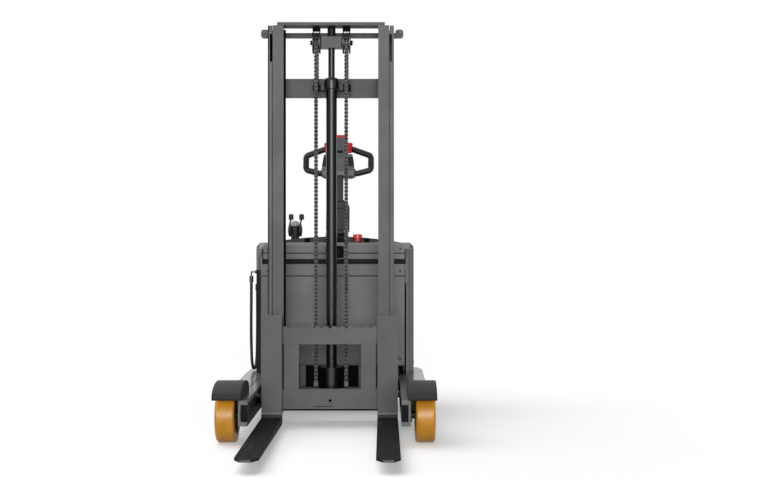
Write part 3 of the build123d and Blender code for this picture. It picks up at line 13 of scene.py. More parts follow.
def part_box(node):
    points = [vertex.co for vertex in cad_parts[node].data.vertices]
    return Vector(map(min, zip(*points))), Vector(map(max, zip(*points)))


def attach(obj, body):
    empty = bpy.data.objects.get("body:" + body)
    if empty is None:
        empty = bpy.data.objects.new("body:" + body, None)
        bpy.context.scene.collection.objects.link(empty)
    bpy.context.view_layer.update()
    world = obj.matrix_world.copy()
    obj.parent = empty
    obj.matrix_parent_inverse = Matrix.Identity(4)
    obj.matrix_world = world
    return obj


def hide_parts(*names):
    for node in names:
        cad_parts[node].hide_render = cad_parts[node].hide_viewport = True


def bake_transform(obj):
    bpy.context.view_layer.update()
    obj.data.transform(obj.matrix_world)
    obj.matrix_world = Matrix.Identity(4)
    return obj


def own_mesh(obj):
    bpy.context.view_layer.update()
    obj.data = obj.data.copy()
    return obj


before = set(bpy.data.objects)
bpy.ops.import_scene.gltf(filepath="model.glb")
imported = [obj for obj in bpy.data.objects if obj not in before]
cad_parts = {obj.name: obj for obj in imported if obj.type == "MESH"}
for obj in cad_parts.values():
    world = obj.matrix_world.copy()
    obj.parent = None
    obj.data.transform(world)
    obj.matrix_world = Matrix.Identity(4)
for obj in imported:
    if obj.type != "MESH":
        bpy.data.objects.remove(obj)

LOG = logging.getLogger("reach_stacker")
Pair = tuple[float, float]
Point = tuple[float, float, float]
Colour = tuple[float, float, float, float]
Socket = bpy.types.NodeSocket
SIDES = (-1, 1)
SMOOTH_ANGLE = math.radians(32)
ORIGIN = (0, 0, 0)
FORWARD = (0, -1, 0)
BACKWARD = (0, 1, 0)
# The plane of an outline that is raised across the truck: its axes are the truck's Y and Z.
FLANK = Matrix(((0, 0, 1, 0), (1, 0, 0, 0), (0, 1, 0, 0), (0, 0, 0, 1)))
# How far a rounded normal leaves the true one, as a cosine, where an edge starts and where it is full.
EDGE_BAND = (0.995, 0.86)
# A face counts as turned inward when its normal's X times its place's X is below this.
INWARD_LIMIT = -0.05


def shade(red: int, green: int, blue: int) -> Colour:
    """Turns a colour as a screen shows it into the linear colour that a shader takes.

    Args:
        red: Red from 0 to 255.
        green: Green from 0 to 255.
        blue: Blue from 0 to 255.

    Returns:
        The linear colour with full alpha.
    """
    def linear(level: int) -> float:
        """Undoes the screen curve of one channel."""
        share = level / 255
        return share / 12.92 if share <= 0.04045 else ((share + 0.055) / 1.055) ** 2.4

    return (linear(red), linear(green), linear(blue), 1.0)


def grey(level: int, blue: int = 1) -> Colour:
    """Gives a grey of one screen level with a little more blue."""
    return shade(level, level, level + blue)


def toned(colour: Colour, factor: float) -> Colour:
    """Gives a colour made darker or lighter by a factor."""
    return tuple(factor * channel for channel in colour[:3]) + (1.0,)


def both(name: str) -> tuple[str, str]:
    """Gives the names of a left and a right piece."""
    return (name + "_left", name + "_right")


def put_in_scene(name: str, data: Any) -> bpy.types.Object:
    """Makes an object at the origin of the scene.

    Args:
        name: Name of the object.
        data: Its mesh, curve, lamp or camera.

    Returns:
        The object.
    """
    item = bpy.data.objects.new(name, data)
    bpy.context.scene.collection.objects.link(item)
    return item


class Slot(Enum):
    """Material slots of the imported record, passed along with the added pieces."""

    GREY_PAINT = "grey_paint"
    BARE_STEEL = "bare_steel"
    CASTING = "casting"
    AMBER_TREAD = "amber_tread"
    BLACK_PLASTIC = "black_plastic"
    HOSE_RUBBER = "hose_rubber"


class Axis(Enum):
    """Direction that a turned shape is spun about."""

    ACROSS = Vector((1, 0, 0))
    UP = Vector((0, 0, 1))


class NodeSheet:
    """A node tree with short calls that add nodes, set them and link them."""

    def __init__(self, tree: bpy.types.NodeTree) -> None:
        """Takes the tree to draw in."""
        self.tree = tree

    def plug(self, target: Socket, value: Any) -> None:
        """Links an output to an input, or sets the input to a plain value.

        Args:
            target: Input to fill.
            value: Socket to link, or value to set.
        """
        if isinstance(value, Socket):
            self.tree.links.new(value, target)
        else:
            target.default_value = value

    def add(self, kind: str, inputs: Optional[dict[Any, Any]] = None, **settings: Any) -> bpy.types.Node:
        """Adds a node, sets its properties and fills its inputs.

        Args:
            kind: Node type.
            inputs: Sockets to link or values to set, by an input's name or number.
            settings: Properties of the node.

        Returns:
            The new node.
        """
        node = self.tree.nodes.new(kind)
        for key, value in settings.items():
            setattr(node, key, value)
        for key, value in (inputs or {}).items():
            self.plug(node.inputs[key], value)
        return node


def empty_material(name: str) -> bpy.types.Material:
    """Makes a material without nodes.

    Args:
        name: Name of the material.

    Returns:
        The material.
    """
    material = bpy.data.materials.new(name)
    material.use_nodes = True
    material.node_tree.nodes.clear()
    return material


@dataclass(frozen=True)
class Zone:
    """A box in the truck's frame inside which a finish has another colour, named for what is there."""

    name: str
    low: Point
    high: Point
    colour: Colour
    roughness: float = 0.5
    both_sides: bool = False
    inward: bool = False


class ShaderSheet(NodeSheet):
    """A material's node tree, with short calls for what the finishes draw."""

    def __init__(self, name: str) -> None:
        """Starts a material with a shader and nothing else.

        Args:
            name: Name of the material.
        """
        self.material = empty_material(name)
        super().__init__(self.material.node_tree)
        self.body = self.add("ShaderNodeBsdfPrincipled")
        self.add("ShaderNodeOutputMaterial", {"Surface": self.body.outputs["BSDF"]})
        self.place = self.add("ShaderNodeTexCoord").outputs["Object"]

    def feed(self, values: dict[str, Any]) -> None:
        """Links or sets the shader's inputs by name."""
        for name, value in values.items():
            self.plug(self.body.inputs[name], value)

    def calc(self, operation: str, *values: Any) -> Socket:
        """Adds a Math node over sockets and plain numbers, in order."""
        return self.add("ShaderNodeMath", dict(enumerate(values)), operation=operation).outputs[0]

    def times(self, first: Any, second: Any) -> Socket:
        """Multiplies two sockets or numbers."""
        return self.calc("MULTIPLY", first, second)

    def blend(self, share: Any, first: float, second: float) -> Socket:
        """Gives a number between two others by a share."""
        return self.calc("MULTIPLY_ADD", share, second - first, first)

    def mix(self, share: Any, first: Any, second: Any) -> Socket:
        """Mixes two colours by a share, 0 for the first."""
        return self.add("ShaderNodeMix", {0: share, 6: first, 7: second}, data_type="RGBA").outputs[2]

    def band(self, value: Socket, low: float, high: float) -> Socket:
        """Gives 0 below the low number, 1 above the high one and a smooth step between."""
        inputs = {"Value": value, "From Min": low, "From Max": high}
        return self.add("ShaderNodeMapRange", inputs, interpolation_type="SMOOTHSTEP").outputs["Result"]

    def noise(self, scale: float, detail: float = 3, stretch: Point = (1, 1, 1)) -> Socket:
        """Adds noise on Object coordinates.

        Args:
            scale: Waves in a metre.
            detail: Octaves.
            stretch: Scale along each axis.

        Returns:
            The noise's socket.
        """
        spot = self.add("ShaderNodeMapping", {"Scale": stretch, "Vector": self.place}).outputs["Vector"]
        inputs = {"Scale": scale, "Detail": detail, "Vector": spot}
        return self.add("ShaderNodeTexNoise", inputs).outputs["Fac"]

    def split(self, vector: Socket) -> Any:
        """Gives a vector's X, Y and Z sockets by name."""
        return self.add("ShaderNodeSeparateXYZ", {0: vector}).outputs

    def facing(self) -> Socket:
        """Gives the way that the surface faces."""
        return self.add("ShaderNodeNewGeometry").outputs["Normal"]

    def rounded(self, radius: float) -> Socket:
        """Gives normals that run smoothly over sharp edges within a radius."""
        return self.add("ShaderNodeBevel", {"Radius": radius}, samples=4).outputs["Normal"]

    def edges(self, normal: Socket) -> Socket:
        """Gives 0 on flat faces, rising to 1 where the rounded normal leaves the true one."""
        dot = self.add("ShaderNodeVectorMath", {0: normal, 1: self.facing()}, operation="DOT_PRODUCT")
        return self.band(dot.outputs["Value"], *EDGE_BAND)

    def bump(self, height: Socket, depth: float, normal: Optional[Socket] = None) -> Socket:
        """Adds relief.

        Args:
            height: Height from 0 to 1.
            depth: Height of the relief in metres.
            normal: Normal that it is laid on, if not the surface's own.

        Returns:
            The bumped normal's socket.
        """
        inputs = {"Strength": 1.0, "Distance": depth, "Height": height}
        if normal is not None:
            inputs["Normal"] = normal
        return self.add("ShaderNodeBump", inputs).outputs["Normal"]

    def inside(self, zone: Zone) -> Socket:
        """Gives 1 inside a zone and 0 elsewhere.

        Args:
            zone: Zone to test for.

        Returns:
            The test's socket.
        """
        spot = self.split(self.place)
        share = None
        for name, low, high in zip("XYZ", zone.low, zone.high):
            value = spot[name]
            if zone.both_sides and name == "X":
                value = self.calc("ABSOLUTE", value)
            within = self.calc("COMPARE", value, (low + high) / 2, (high - low) / 2)
            share = within if share is None else self.times(share, within)
        if zone.inward:
            towards_middle = self.times(self.split(self.facing())["X"], spot["X"])
            share = self.times(share, self.calc("LESS_THAN", towards_middle, INWARD_LIMIT))
        return share

    def zoned(self, zones: Sequence[Zone], colour: Any, rough: Any) -> tuple[Any, Any]:
        """Changes a colour and a roughness inside zones.

        Args:
            zones: Zones, the later ones on top.
            colour: Colour elsewhere.
            rough: Roughness elsewhere.

        Returns:
            The new colour and roughness.
        """
        for zone in zones:
            share = self.inside(zone)
            colour = self.mix(share, colour, zone.colour)
            colour.node.label = zone.name
            rough = self.calc("MULTIPLY_ADD", share, self.calc("SUBTRACT", zone.roughness, rough), rough)
        return colour, rough


@dataclass(frozen=True)
class Finish:
    """A finish: what every kind of surface here has."""

    name: str
    colour: Colour
    roughness: float = 0.5
    edge: float = 0.0012
    gloss: float = 0.4
    zones: tuple[Zone, ...] = ()

    def material(self) -> bpy.types.Material:
        """Gives the finish's material, which is made on first use.

        Returns:
            The material.
        """
        found = bpy.data.materials.get(self.name)
        if found is None:
            sheet = ShaderSheet(self.name)
            self.draw(sheet)
            found = sheet.material
        return found

    def uneven(self, sheet: ShaderSheet, share: Socket, spread: Pair) -> Socket:
        """Gives a roughness that a share moves across a spread about the finish's own."""
        return sheet.blend(share, self.roughness + spread[0], self.roughness + spread[1])

    def draw(self, sheet: ShaderSheet) -> None:
        """Draws the nodes; each kind of finish has its own."""
        raise NotImplementedError


@dataclass(frozen=True)
class Paint(Finish):
    """Powder coat: faint orange peel, slow colour drift, dust on top and paler worn edges."""

    worn: Colour = (0.42, 0.42, 0.41, 1)
    wear: float = 0.5
    dust: float = 0.16
    dust_colour: Colour = (0.36, 0.35, 0.33, 1)
    peel: float = 0.00005
    peel_scale: float = 620
    drift_scale: float = 5.5
    drift_band: Pair = (0.3, 0.7)
    drift_tones: Pair = (0.86, 1.1)
    matt_scale: float = 38
    matt_spread: Pair = (-0.05, 0.05)
    level_band: Pair = (0.5, 1.0)
    dust_band: Pair = (0.25, 0.75)
    dust_matt: float = 0.05
    patch_scale: float = 70
    patch_band: Pair = (0.5, 0.68)

    def draw(self, sheet: ShaderSheet) -> None:
        """Draws the coat's nodes.

        Args:
            sheet: Sheet of its material.
        """
        normal = sheet.rounded(self.edge)
        drift = sheet.noise(self.drift_scale, 4)
        dark, pale = [toned(self.colour, tone) for tone in self.drift_tones]
        coat = sheet.mix(sheet.band(drift, *self.drift_band), dark, pale)
        matt = self.uneven(sheet, sheet.noise(self.matt_scale), self.matt_spread)
        coat, matt = sheet.zoned(self.zones, coat, matt)
        level = sheet.band(sheet.split(sheet.facing())["Z"], *self.level_band)
        settled = sheet.times(level, sheet.band(drift, *self.dust_band))
        dusty = sheet.mix(sheet.times(settled, self.dust), coat, self.dust_colour)
        patches = sheet.band(sheet.noise(self.patch_scale, 5), *self.patch_band)
        rubbed = sheet.times(sheet.edges(normal), sheet.times(patches, self.wear))
        sheet.feed({
            "Base Color": sheet.mix(rubbed, dusty, self.worn),
            "Roughness": sheet.calc("MULTIPLY_ADD", settled, self.dust_matt, matt),
            "Specular IOR Level": self.gloss,
            "Normal": sheet.bump(sheet.noise(self.peel_scale, 2), self.peel, normal),
        })


@dataclass(frozen=True)
class Metal(Finish):
    """Bare metal with fine lines along one axis and a few oil marks."""

    grain: Point = (1, 1, 1)
    grain_scale: float = 420
    grain_spread: Pair = (-0.07, 0.09)
    relief: float = 0.00002
    stain: float = 0.35
    stain_scale: float = 11
    stain_band: Pair = (0.48, 0.72)
    stain_tone: float = 0.45
    stain_matt: float = 0.2

    def draw(self, sheet: ShaderSheet) -> None:
        """Draws the metal's nodes.

        Args:
            sheet: Sheet of its material.
        """
        lines = sheet.noise(self.grain_scale, 3, self.grain)
        oil = sheet.times(sheet.band(sheet.noise(self.stain_scale, 4), *self.stain_band), self.stain)
        line_rough = self.uneven(sheet, lines, self.grain_spread)
        sheet.feed({
            "Base Color": sheet.mix(oil, self.colour, toned(self.colour, self.stain_tone)),
            "Metallic": 1.0,
            "Roughness": sheet.calc("MULTIPLY_ADD", oil, self.stain_matt, line_rough),
            "Normal": sheet.bump(lines, self.relief, sheet.rounded(self.edge)),
        })


@dataclass(frozen=True)
class Cast(Finish):
    """Sand-cast iron or aluminium under a thin coat: grainy skin and paler rubbed edges."""

    metallic: float = 0.35
    skin: float = 0.00035
    skin_scale: float = 260
    skin_band: Pair = (0.3, 0.7)
    skin_tone: float = 0.7
    skin_spread: Pair = (-0.08, 0.12)
    rub: float = 0.55
    rub_scale: float = 60
    rub_band: Pair = (0.42, 0.66)
    rubbed_colour: Colour = (0.5, 0.5, 0.5, 1)

    def draw(self, sheet: ShaderSheet) -> None:
        """Draws the casting's nodes.

        Args:
            sheet: Sheet of its material.
        """
        normal = sheet.rounded(self.edge)
        grain = sheet.noise(self.skin_scale, 6)
        skin = sheet.mix(sheet.band(grain, *self.skin_band), toned(self.colour, self.skin_tone), self.colour)
        patches = sheet.band(sheet.noise(self.rub_scale, 4), *self.rub_band)
        rubbed = sheet.times(sheet.edges(normal), patches)
        sheet.feed({
            "Base Color": sheet.mix(sheet.times(rubbed, self.rub), skin, self.rubbed_colour),
            "Metallic": self.metallic,
            "Roughness": self.uneven(sheet, grain, self.skin_spread),
            "Normal": sheet.bump(grain, self.skin, normal),
        })


@dataclass(frozen=True)
class Moulding(Finish):
    """Moulded plastic with a fine spark-eroded grain and polished edges."""

    grain: float = 0.00006
    scale: float = 900
    touch: float = 0.6
    touch_scale: float = 16
    touch_band: Pair = (0.38, 0.7)
    touch_tone: float = 1.25
    touch_matt: float = 0.08
    edge_matt: float = -0.12

    def draw(self, sheet: ShaderSheet) -> None:
        """Draws the plastic's nodes.

        Args:
            sheet: Sheet of its material.
        """
        normal = sheet.rounded(self.edge)
        cells = sheet.add("ShaderNodeTexVoronoi", {"Scale": self.scale, "Vector": sheet.place})
        handled = sheet.band(sheet.noise(self.touch_scale, 4), *self.touch_band)
        pale = toned(self.colour, self.touch_tone)
        skin = sheet.mix(sheet.times(handled, self.touch), self.colour, pale)
        polish = sheet.calc("MULTIPLY_ADD", sheet.edges(normal), self.edge_matt, self.roughness)
        skin, polish = sheet.zoned(self.zones, skin, polish)
        sheet.feed({
            "Base Color": skin,
            "Roughness": sheet.calc("MULTIPLY_ADD", handled, self.touch_matt, polish),
            "Specular IOR Level": self.gloss,
            "Normal": sheet.bump(cells.outputs["Distance"], self.grain, normal),
        })


@dataclass(frozen=True)
class Tread(Finish):
    """Cast polyurethane: glowing through a little, slightly scuffed and dusty in use."""

    scuffed: Colour = (0.36, 0.22, 0.07, 1)
    scuff: float = 0.4
    scuff_scale: float = 150
    scuff_stretch: Point = (0.3, 1, 1)
    scuff_band: Pair = (0.6, 0.74)
    scuff_matt: float = 0.22
    cloud_scale: float = 24
    cloud_band: Pair = (0.35, 0.7)
    cloud_tone: float = 0.82
    relief: float = 0.00004
    relief_scale: float = 300
    glow: float = 0.12
    glow_reach: Point = (0.02, 0.01, 0.003)
    glow_scale: float = 0.2

    def draw(self, sheet: ShaderSheet) -> None:
        """Draws the tread's nodes.

        Args:
            sheet: Sheet of its material.
        """
        cloud = sheet.band(sheet.noise(self.cloud_scale, 5), *self.cloud_band)
        body = sheet.mix(cloud, toned(self.colour, self.cloud_tone), self.colour)
        marks = sheet.band(sheet.noise(self.scuff_scale, 4, self.scuff_stretch), *self.scuff_band)
        sheet.feed({
            "Base Color": sheet.mix(sheet.times(marks, self.scuff), body, self.scuffed),
            "Subsurface Weight": self.glow,
            "Subsurface Radius": self.glow_reach,
            "Subsurface Scale": self.glow_scale,
            "Roughness": sheet.calc("MULTIPLY_ADD", marks, self.scuff_matt, self.roughness),
            "Normal": sheet.bump(sheet.noise(self.relief_scale, 4), self.relief, sheet.rounded(self.edge)),
        })


@dataclass(frozen=True)
class ForkCoat(Finish):
    """Forged fork: grey coat on the shank, black wear coat on the blade, rubbed along its middle."""

    shank: Colour = (0.15, 0.15, 0.15, 1)
    shank_scale: float = 7
    shank_band: Pair = (0.3, 0.7)
    shank_tone: float = 0.88
    blade_top: float = 0.072
    blade_fade: float = 0.006
    tip: float = 0.0
    tip_fade: Pair = (0.0006, 0.0016)
    drag: float = 0.5
    drag_colour: Colour = (0.06, 0.06, 0.06, 1)
    drag_scale: float = 55
    drag_stretch: Point = (1, 0.06, 1)
    drag_band: Pair = (0.56, 0.8)
    drag_matt: float = -0.1
    rub: float = 0.5
    rub_scale: float = 60
    rub_band: Pair = (0.45, 0.62)
    rubbed_colour: Colour = (0.32, 0.32, 0.32, 1)
    relief: float = 0.00007
    relief_scale: float = 480

    def draw(self, sheet: ShaderSheet) -> None:
        """Draws the fork's nodes.

        Args:
            sheet: Sheet of its material.
        """
        normal = sheet.rounded(self.edge)
        spot = sheet.split(sheet.place)
        on_blade = sheet.band(spot["Z"], self.blade_top + self.blade_fade, self.blade_top - self.blade_fade)
        behind_tip = sheet.band(spot["Y"], self.tip + self.tip_fade[0], self.tip + self.tip_fade[1])
        drift = sheet.band(sheet.noise(self.shank_scale, 4), *self.shank_band)
        shank = sheet.mix(drift, toned(self.shank, self.shank_tone), self.shank)
        drag = sheet.band(sheet.noise(self.drag_scale, 5, self.drag_stretch), *self.drag_band)
        blade = sheet.mix(sheet.times(drag, self.drag), self.colour, self.drag_colour)
        patches = sheet.band(sheet.noise(self.rub_scale, 5), *self.rub_band)
        rubbed = sheet.times(sheet.edges(normal), patches)
        coat = sheet.mix(sheet.times(on_blade, behind_tip), shank, blade)
        matt = sheet.calc("MULTIPLY_ADD", drag, self.drag_matt, self.roughness)
        coat, matt = sheet.zoned(self.zones, coat, matt)
        sheet.feed({
            "Base Color": sheet.mix(sheet.times(rubbed, self.rub), coat, self.rubbed_colour),
            "Roughness": matt,
            "Specular IOR Level": self.gloss,
            "Normal": sheet.bump(sheet.noise(self.relief_scale), self.relief, normal),
        })


@dataclass(frozen=True)
class Rubber(Finish):
    """Hose cover with the print of its cloth wrap, drawn along the hose's own UV map."""

    wraps: float = 380
    strands: float = 3
    print_depth: float = 0.00012
    chalk: float = 0.5
    chalk_colour: Colour = (0.035, 0.035, 0.036, 1)
    chalk_scale: float = 45
    chalk_band: Pair = (0.45, 0.75)
    chalk_matt: float = 0.15

    def draw(self, sheet: ShaderSheet) -> None:
        """Draws the cover's nodes.

        Args:
            sheet: Sheet of its material.
        """
        track = sheet.add("ShaderNodeUVMap", uv_map="along").outputs["UV"]
        stretch = sheet.add("ShaderNodeMapping", {"Scale": (self.wraps, self.strands, 1), "Vector": track})
        wave = sheet.add(
            "ShaderNodeTexWave", {"Scale": 1.0, "Vector": stretch.outputs["Vector"]},
            wave_type="BANDS", bands_direction="DIAGONAL",
        )
        chalk = sheet.band(sheet.noise(self.chalk_scale, 4), *self.chalk_band)
        sheet.feed({
            "Base Color": sheet.mix(sheet.times(chalk, self.chalk), self.colour, self.chalk_colour),
            "Roughness": sheet.calc("MULTIPLY_ADD", chalk, self.chalk_matt, self.roughness),
            "Specular IOR Level": self.gloss,
            "Normal": sheet.bump(wave.outputs["Fac"], self.print_depth),
        })


@dataclass(frozen=True)
class Glaze(Finish):
    """Dark display glass under a thin clear cover, with faint wipe marks."""

    wiped_colour: Colour = (0.012, 0.016, 0.02, 1)
    wipe_scale: float = 60
    wipe_stretch: Point = (1, 0.2, 1)
    wipe_spread: Pair = (0, 0.1)
    cover: float = 0.6
    cover_roughness: float = 0.04

    def draw(self, sheet: ShaderSheet) -> None:
        """Draws the glass's nodes.

        Args:
            sheet: Sheet of its material.
        """
        wiped = sheet.noise(self.wipe_scale, 4, self.wipe_stretch)
        sheet.feed({
            "Base Color": sheet.mix(wiped, self.colour, self.wiped_colour),
            "Roughness": self.uneven(sheet, wiped, self.wipe_spread),
            "Coat Weight": self.cover,
            "Coat Roughness": self.cover_roughness,
        })


# Near-black greys for dark joints and black parts, and for painted shade in channels, gaps, slots and
# recesses.
DEEP_BLACK_JOINTS_AND_SHADE = grey(10, 0)
NEAR_BLACK_PARTS_AND_SHADE = grey(20)
COAT = grey(96)
GREY = Paint("grey_powder_coat", COAT, 0.36, gloss=0.15)
REAR_GREY = Paint("rear_panel_coat", COAT, 0.55, gloss=0.1)
TIE_GREY = Paint(
    "mast_tie_coat", grey(84), 0.4, gloss=0.12, zones=(
        Zone("hanger pads", (0.05, 0.12, 1.98), (0.1, 0.2, 2.0055), NEAR_BLACK_PARTS_AND_SHADE, 1.0, both_sides=True),
    ),
)
LEG_GREY = Paint(
    "leg_powder_coat", COAT, 0.2, gloss=0.6, zones=(
        Zone("seam on top", (0.3855, -0.6, 0.2), (0.3885, 0.9, 0.2135), DEEP_BLACK_JOINTS_AND_SHADE, 0.9, both_sides=True),
        # Near-black on the channel's lips and inside: painted shade.
        Zone("channel lips", (0.343, -0.524, 0.095), (0.3465, 0.82, 0.194), NEAR_BLACK_PARTS_AND_SHADE, 1.0, both_sides=True),
        Zone("channel inside", (0.3465, -0.524, 0.1), (0.3845, 0.82, 0.1935), DEEP_BLACK_JOINTS_AND_SHADE, 1.0, both_sides=True),
    ),
)
# Darker than the body's grey coat because the side panels face away from the light: painted shade.
SIDE_GREY = Paint(
    "side_panel_coat", grey(72), 0.38, gloss=0.12, zones=(
        # Black on the left corner: painted shade.
        Zone("left corner strip", (-0.43, 0.43, 0.2), (-0.3904, 0.575, 0.77), DEEP_BLACK_JOINTS_AND_SHADE, 1.0),
        # Black in the slot beside the front panel: painted shade.
        Zone("gap beside the front panel", (0.37, 0.43, 0.2), (0.3845, 0.45, 0.702), DEEP_BLACK_JOINTS_AND_SHADE, 1.0),
        # Lighter strip on the right front edge: a painted highlight.
        Zone("right front edge", (0.3845, 0.43, 0.2), (0.3925, 0.48, 0.84), grey(112), 0.38),
    ),
)
ARM_GREY = Paint(
    "tiller_arm_coat", grey(66), 0.36, gloss=0.15, zones=(
        Zone("lower joint of the cover", (-0.07, 0.9, 1.1105), (0.07, 1.05, 1.1155), DEEP_BLACK_JOINTS_AND_SHADE, 1.0),
        Zone("upper joint of the cover", (-0.046, 0.9, 1.149), (0.046, 1.05, 1.1545), DEEP_BLACK_JOINTS_AND_SHADE, 1.0),
    ),
)
CARRIAGE_GREY = Paint(
    "carriage_coat", COAT, 0.36, gloss=0.15, zones=(
        Zone("slot in the lower bar", (-0.081, -0.002, 0.1085), (0.014, 0.0005, 0.1114), DEEP_BLACK_JOINTS_AND_SHADE, 1.0),
    ),
)
RAIL_GREY = Paint(
    "rail_powder_coat", grey(98), 0.36, gloss=0.1, zones=(
        # Near-black on faces that turn inward into the channels: painted shade.
        Zone("channel insides", (-1, 0, 0), (1, 1, 3), DEEP_BLACK_JOINTS_AND_SHADE, 1.0, inward=True),
        # Black on the rear flanges seen inside the channels: painted shade.
        Zone("rear flanges", (-0.2935, 0.2, 0.09), (0.2935, 0.2305, 2.1), DEEP_BLACK_JOINTS_AND_SHADE, 1.0),
        # Black in the gap between the left rails: painted shade.
        Zone("gap between the left rails", (-0.3165, 0.09, 0), (-0.3115, 0.0965, 2.1), DEEP_BLACK_JOINTS_AND_SHADE, 1.0),
    ),
)
REACH_GREY = Paint(
    "reach_frame_coat", COAT, 0.36, gloss=0.1, zones=(
        # Black on the rear web between the side plates: painted shade.
        Zone("rear web", (-0.315, 0.2489, 0.05), (0.315, 0.267, 0.4), DEEP_BLACK_JOINTS_AND_SHADE, 1.0),
        Zone("foot", (-0.315, 0.09, 0.05), (0.315, 0.249, 0.0955), NEAR_BLACK_PARTS_AND_SHADE, 1.0),
    ),
)
# Lighter than the body's grey coat, to make up for the shadow that the mast casts on the panel: painted
# light.
PANEL_GREY = Paint(
    "front_panel_coat", grey(114), 0.36, gloss=0.15, zones=(
        Zone("seam across", (-0.4, 0.43, 0.7365), (0.4, 0.45, 0.7415), DEEP_BLACK_JOINTS_AND_SHADE, 1.0),
    ),
)
# Lighter than the body's grey coat: painted light on the hood's face.
HOOD_GREY = Paint(
    "hood_coat", grey(120), 0.38, gloss=0.15, zones=(
        Zone("dash", (-0.5, 0.598, 0.9175), (0.5, 0.75, 0.96), grey(52), 0.42),
        Zone("seam above the panel", (-0.5, 0.43, 0.8575), (0.5, 0.4425, 0.8625), DEEP_BLACK_JOINTS_AND_SHADE, 1.0),
        # Black in the latch's recess: painted shade.
        Zone("latch recess", (-0.046, 0.4395, 0.833), (0.0535, 0.484, 0.899), DEEP_BLACK_JOINTS_AND_SHADE, 1.0),
        # Black in the dash's two grooves: painted shade.
        Zone("left groove of the dash", (-0.168, 0.58, 0.9165), (-0.136, 0.75, 0.96), DEEP_BLACK_JOINTS_AND_SHADE, 1.0),
        Zone("right groove of the dash", (0.158, 0.58, 0.9165), (0.186, 0.75, 0.96), DEEP_BLACK_JOINTS_AND_SHADE, 1.0),
        # Dark line along the fold of the front edge: painted shade.
        Zone("fold of the front edge", (-0.41, 0.43, 0.9035), (0.41, 0.4395, 0.9055), grey(60), 0.6),
        # Near-black on the shoulders' chamfers, which face sideways: painted shade.
        Zone("corners", (0.4075, 0.43, 0.8895), (0.43, 0.75, 0.9165), NEAR_BLACK_PARTS_AND_SHADE, 0.8, both_sides=True),
    ),
)
CROSSHEAD_GREY = Paint(
    "crosshead_coat", grey(92), 0.36, gloss=0.12, zones=(
        Zone("top of the block", (-0.05, 0.1, 1.9585), (0.05, 0.25, 2.01), NEAR_BLACK_PARTS_AND_SHADE, 0.4),
        Zone("sheave cheeks", (0.0545, 0.1, 1.89), (0.11, 0.25, 2.02), NEAR_BLACK_PARTS_AND_SHADE, 1.0, both_sides=True),
    ),
)
DARK_COAT = Paint("dark_powder_coat", grey(40), 0.42, gloss=0.2, worn=(0.2, 0.2, 0.2, 1))
FRAME_BLACK = Paint("black_frame_coat", grey(22), 0.55, gloss=0.1, worn=(0.1, 0.1, 0.1, 1), dust=0.06)
BLACK_COAT = Paint(
    "black_cylinder_enamel", grey(8, 0), 0.27, gloss=0.34, worn=(0.1, 0.1, 0.1, 1), wear=0.1, dust=0.02,
    peel=0.000004, zones=(
        Zone("anchor yoke", (0.0355, 0.09, 1.66), (0.056, 0.25, 1.8), grey(84), 0.6, both_sides=True),
        Zone("anchor ears", (0.056, 0.09, 1.6), (0.11, 0.25, 1.8), DEEP_BLACK_JOINTS_AND_SHADE, 1.0, both_sides=True),
    ),
)
# The lift rod is chrome; its near-black glossy colour is a painted reflection of dark surroundings, which the
# white studio lacks.
ROD_DARK_REFLECTION = Paint(
    "dark_plated_rod", grey(10), 0.28, gloss=0.36, worn=(0.2, 0.2, 0.2, 1), wear=0.05, dust=0, peel=0.000004,
)
STEEL = Metal("oiled_steel", (0.42, 0.42, 0.41, 1), 0.36, 0.0006)
CHAIN_STEEL = Metal("chain_steel", (0.05, 0.05, 0.05, 1), 0.42, 0.0003, stain=0.6)
DARK_STEEL = Metal("blackened_steel", (0.06, 0.06, 0.06, 1), 0.42, 0.0006)
ZINC = Metal("zinc_plated_steel", (0.5, 0.5, 0.49, 1), 0.33, 0.0004)
CHROME = Metal("hard_chrome", (0.62, 0.62, 0.62, 1), 0.14, 0.0006, grain=(1, 1, 0.02), stain=0.1)
IRON = Cast("cast_iron", (0.06, 0.06, 0.06, 1), 0.56)
ALUMINIUM = Cast("cast_aluminium", (0.42, 0.42, 0.42, 1), 0.46, metallic=0.85, skin=0.00015)
AMBER = Tread("amber_polyurethane", shade(212, 146, 26), 0.34, 0.002)
FENDER = Moulding("fender_plastic", grey(44), 0.5, 0.003, gloss=0.14, scale=700)
BLACK = Moulding("black_plastic", grey(28), 0.44, 0.0015, gloss=0.2)
CONSOLE = Moulding(
    "lever_console_plastic", grey(30), 0.42, 0.0015, gloss=0.2, zones=(
        Zone("pale top", (-0.27, 0.66, 1.0075), (-0.18, 0.74, 1.05), grey(168, 2), 0.4),
    ),
)
HEAD_GREY = Moulding(
    "tiller_head_plastic", grey(98, 2), 0.42, 0.002, gloss=0.2, scale=600, zones=(
        # Lighter band on the head's bulging foot: a painted highlight.
        Zone("highlight on the foot", (-0.1, 0.98, 1.304), (0.1, 1.12, 1.329), grey(124, 2), 0.4),
        Zone("groove below the foot", (-0.1, 0.98, 1.293), (0.1, 1.12, 1.300), DEEP_BLACK_JOINTS_AND_SHADE, 0.6),
        Zone("cool brow", (-0.1, 0.98, 1.414), (0.1, 1.12, 1.429), shade(92, 102, 104), 0.4),
        Zone("dark cheeks", (0.052, 0.98, 1.357), (0.1, 1.12, 1.414), grey(26), 0.5, both_sides=True),
        Zone("slot above the brow", (-0.0265, 0.98, 1.437), (0.0265, 1.06, 1.451), shade(14, 15, 17), 0.2),
    ),
)
GRIP = Moulding("black_grip", grey(20), 0.3, 0.001, gloss=0.3, grain=0.00002, scale=520)
SOFT_BLACK = Moulding("black_rubber_stop", grey(16, 0), 0.62, 0.002, gloss=0.1, grain=0.00015, scale=420)
RED = Moulding("red_plastic", shade(214, 20, 22), 0.42, 0.0012, gloss=0.15, grain=0.00001)
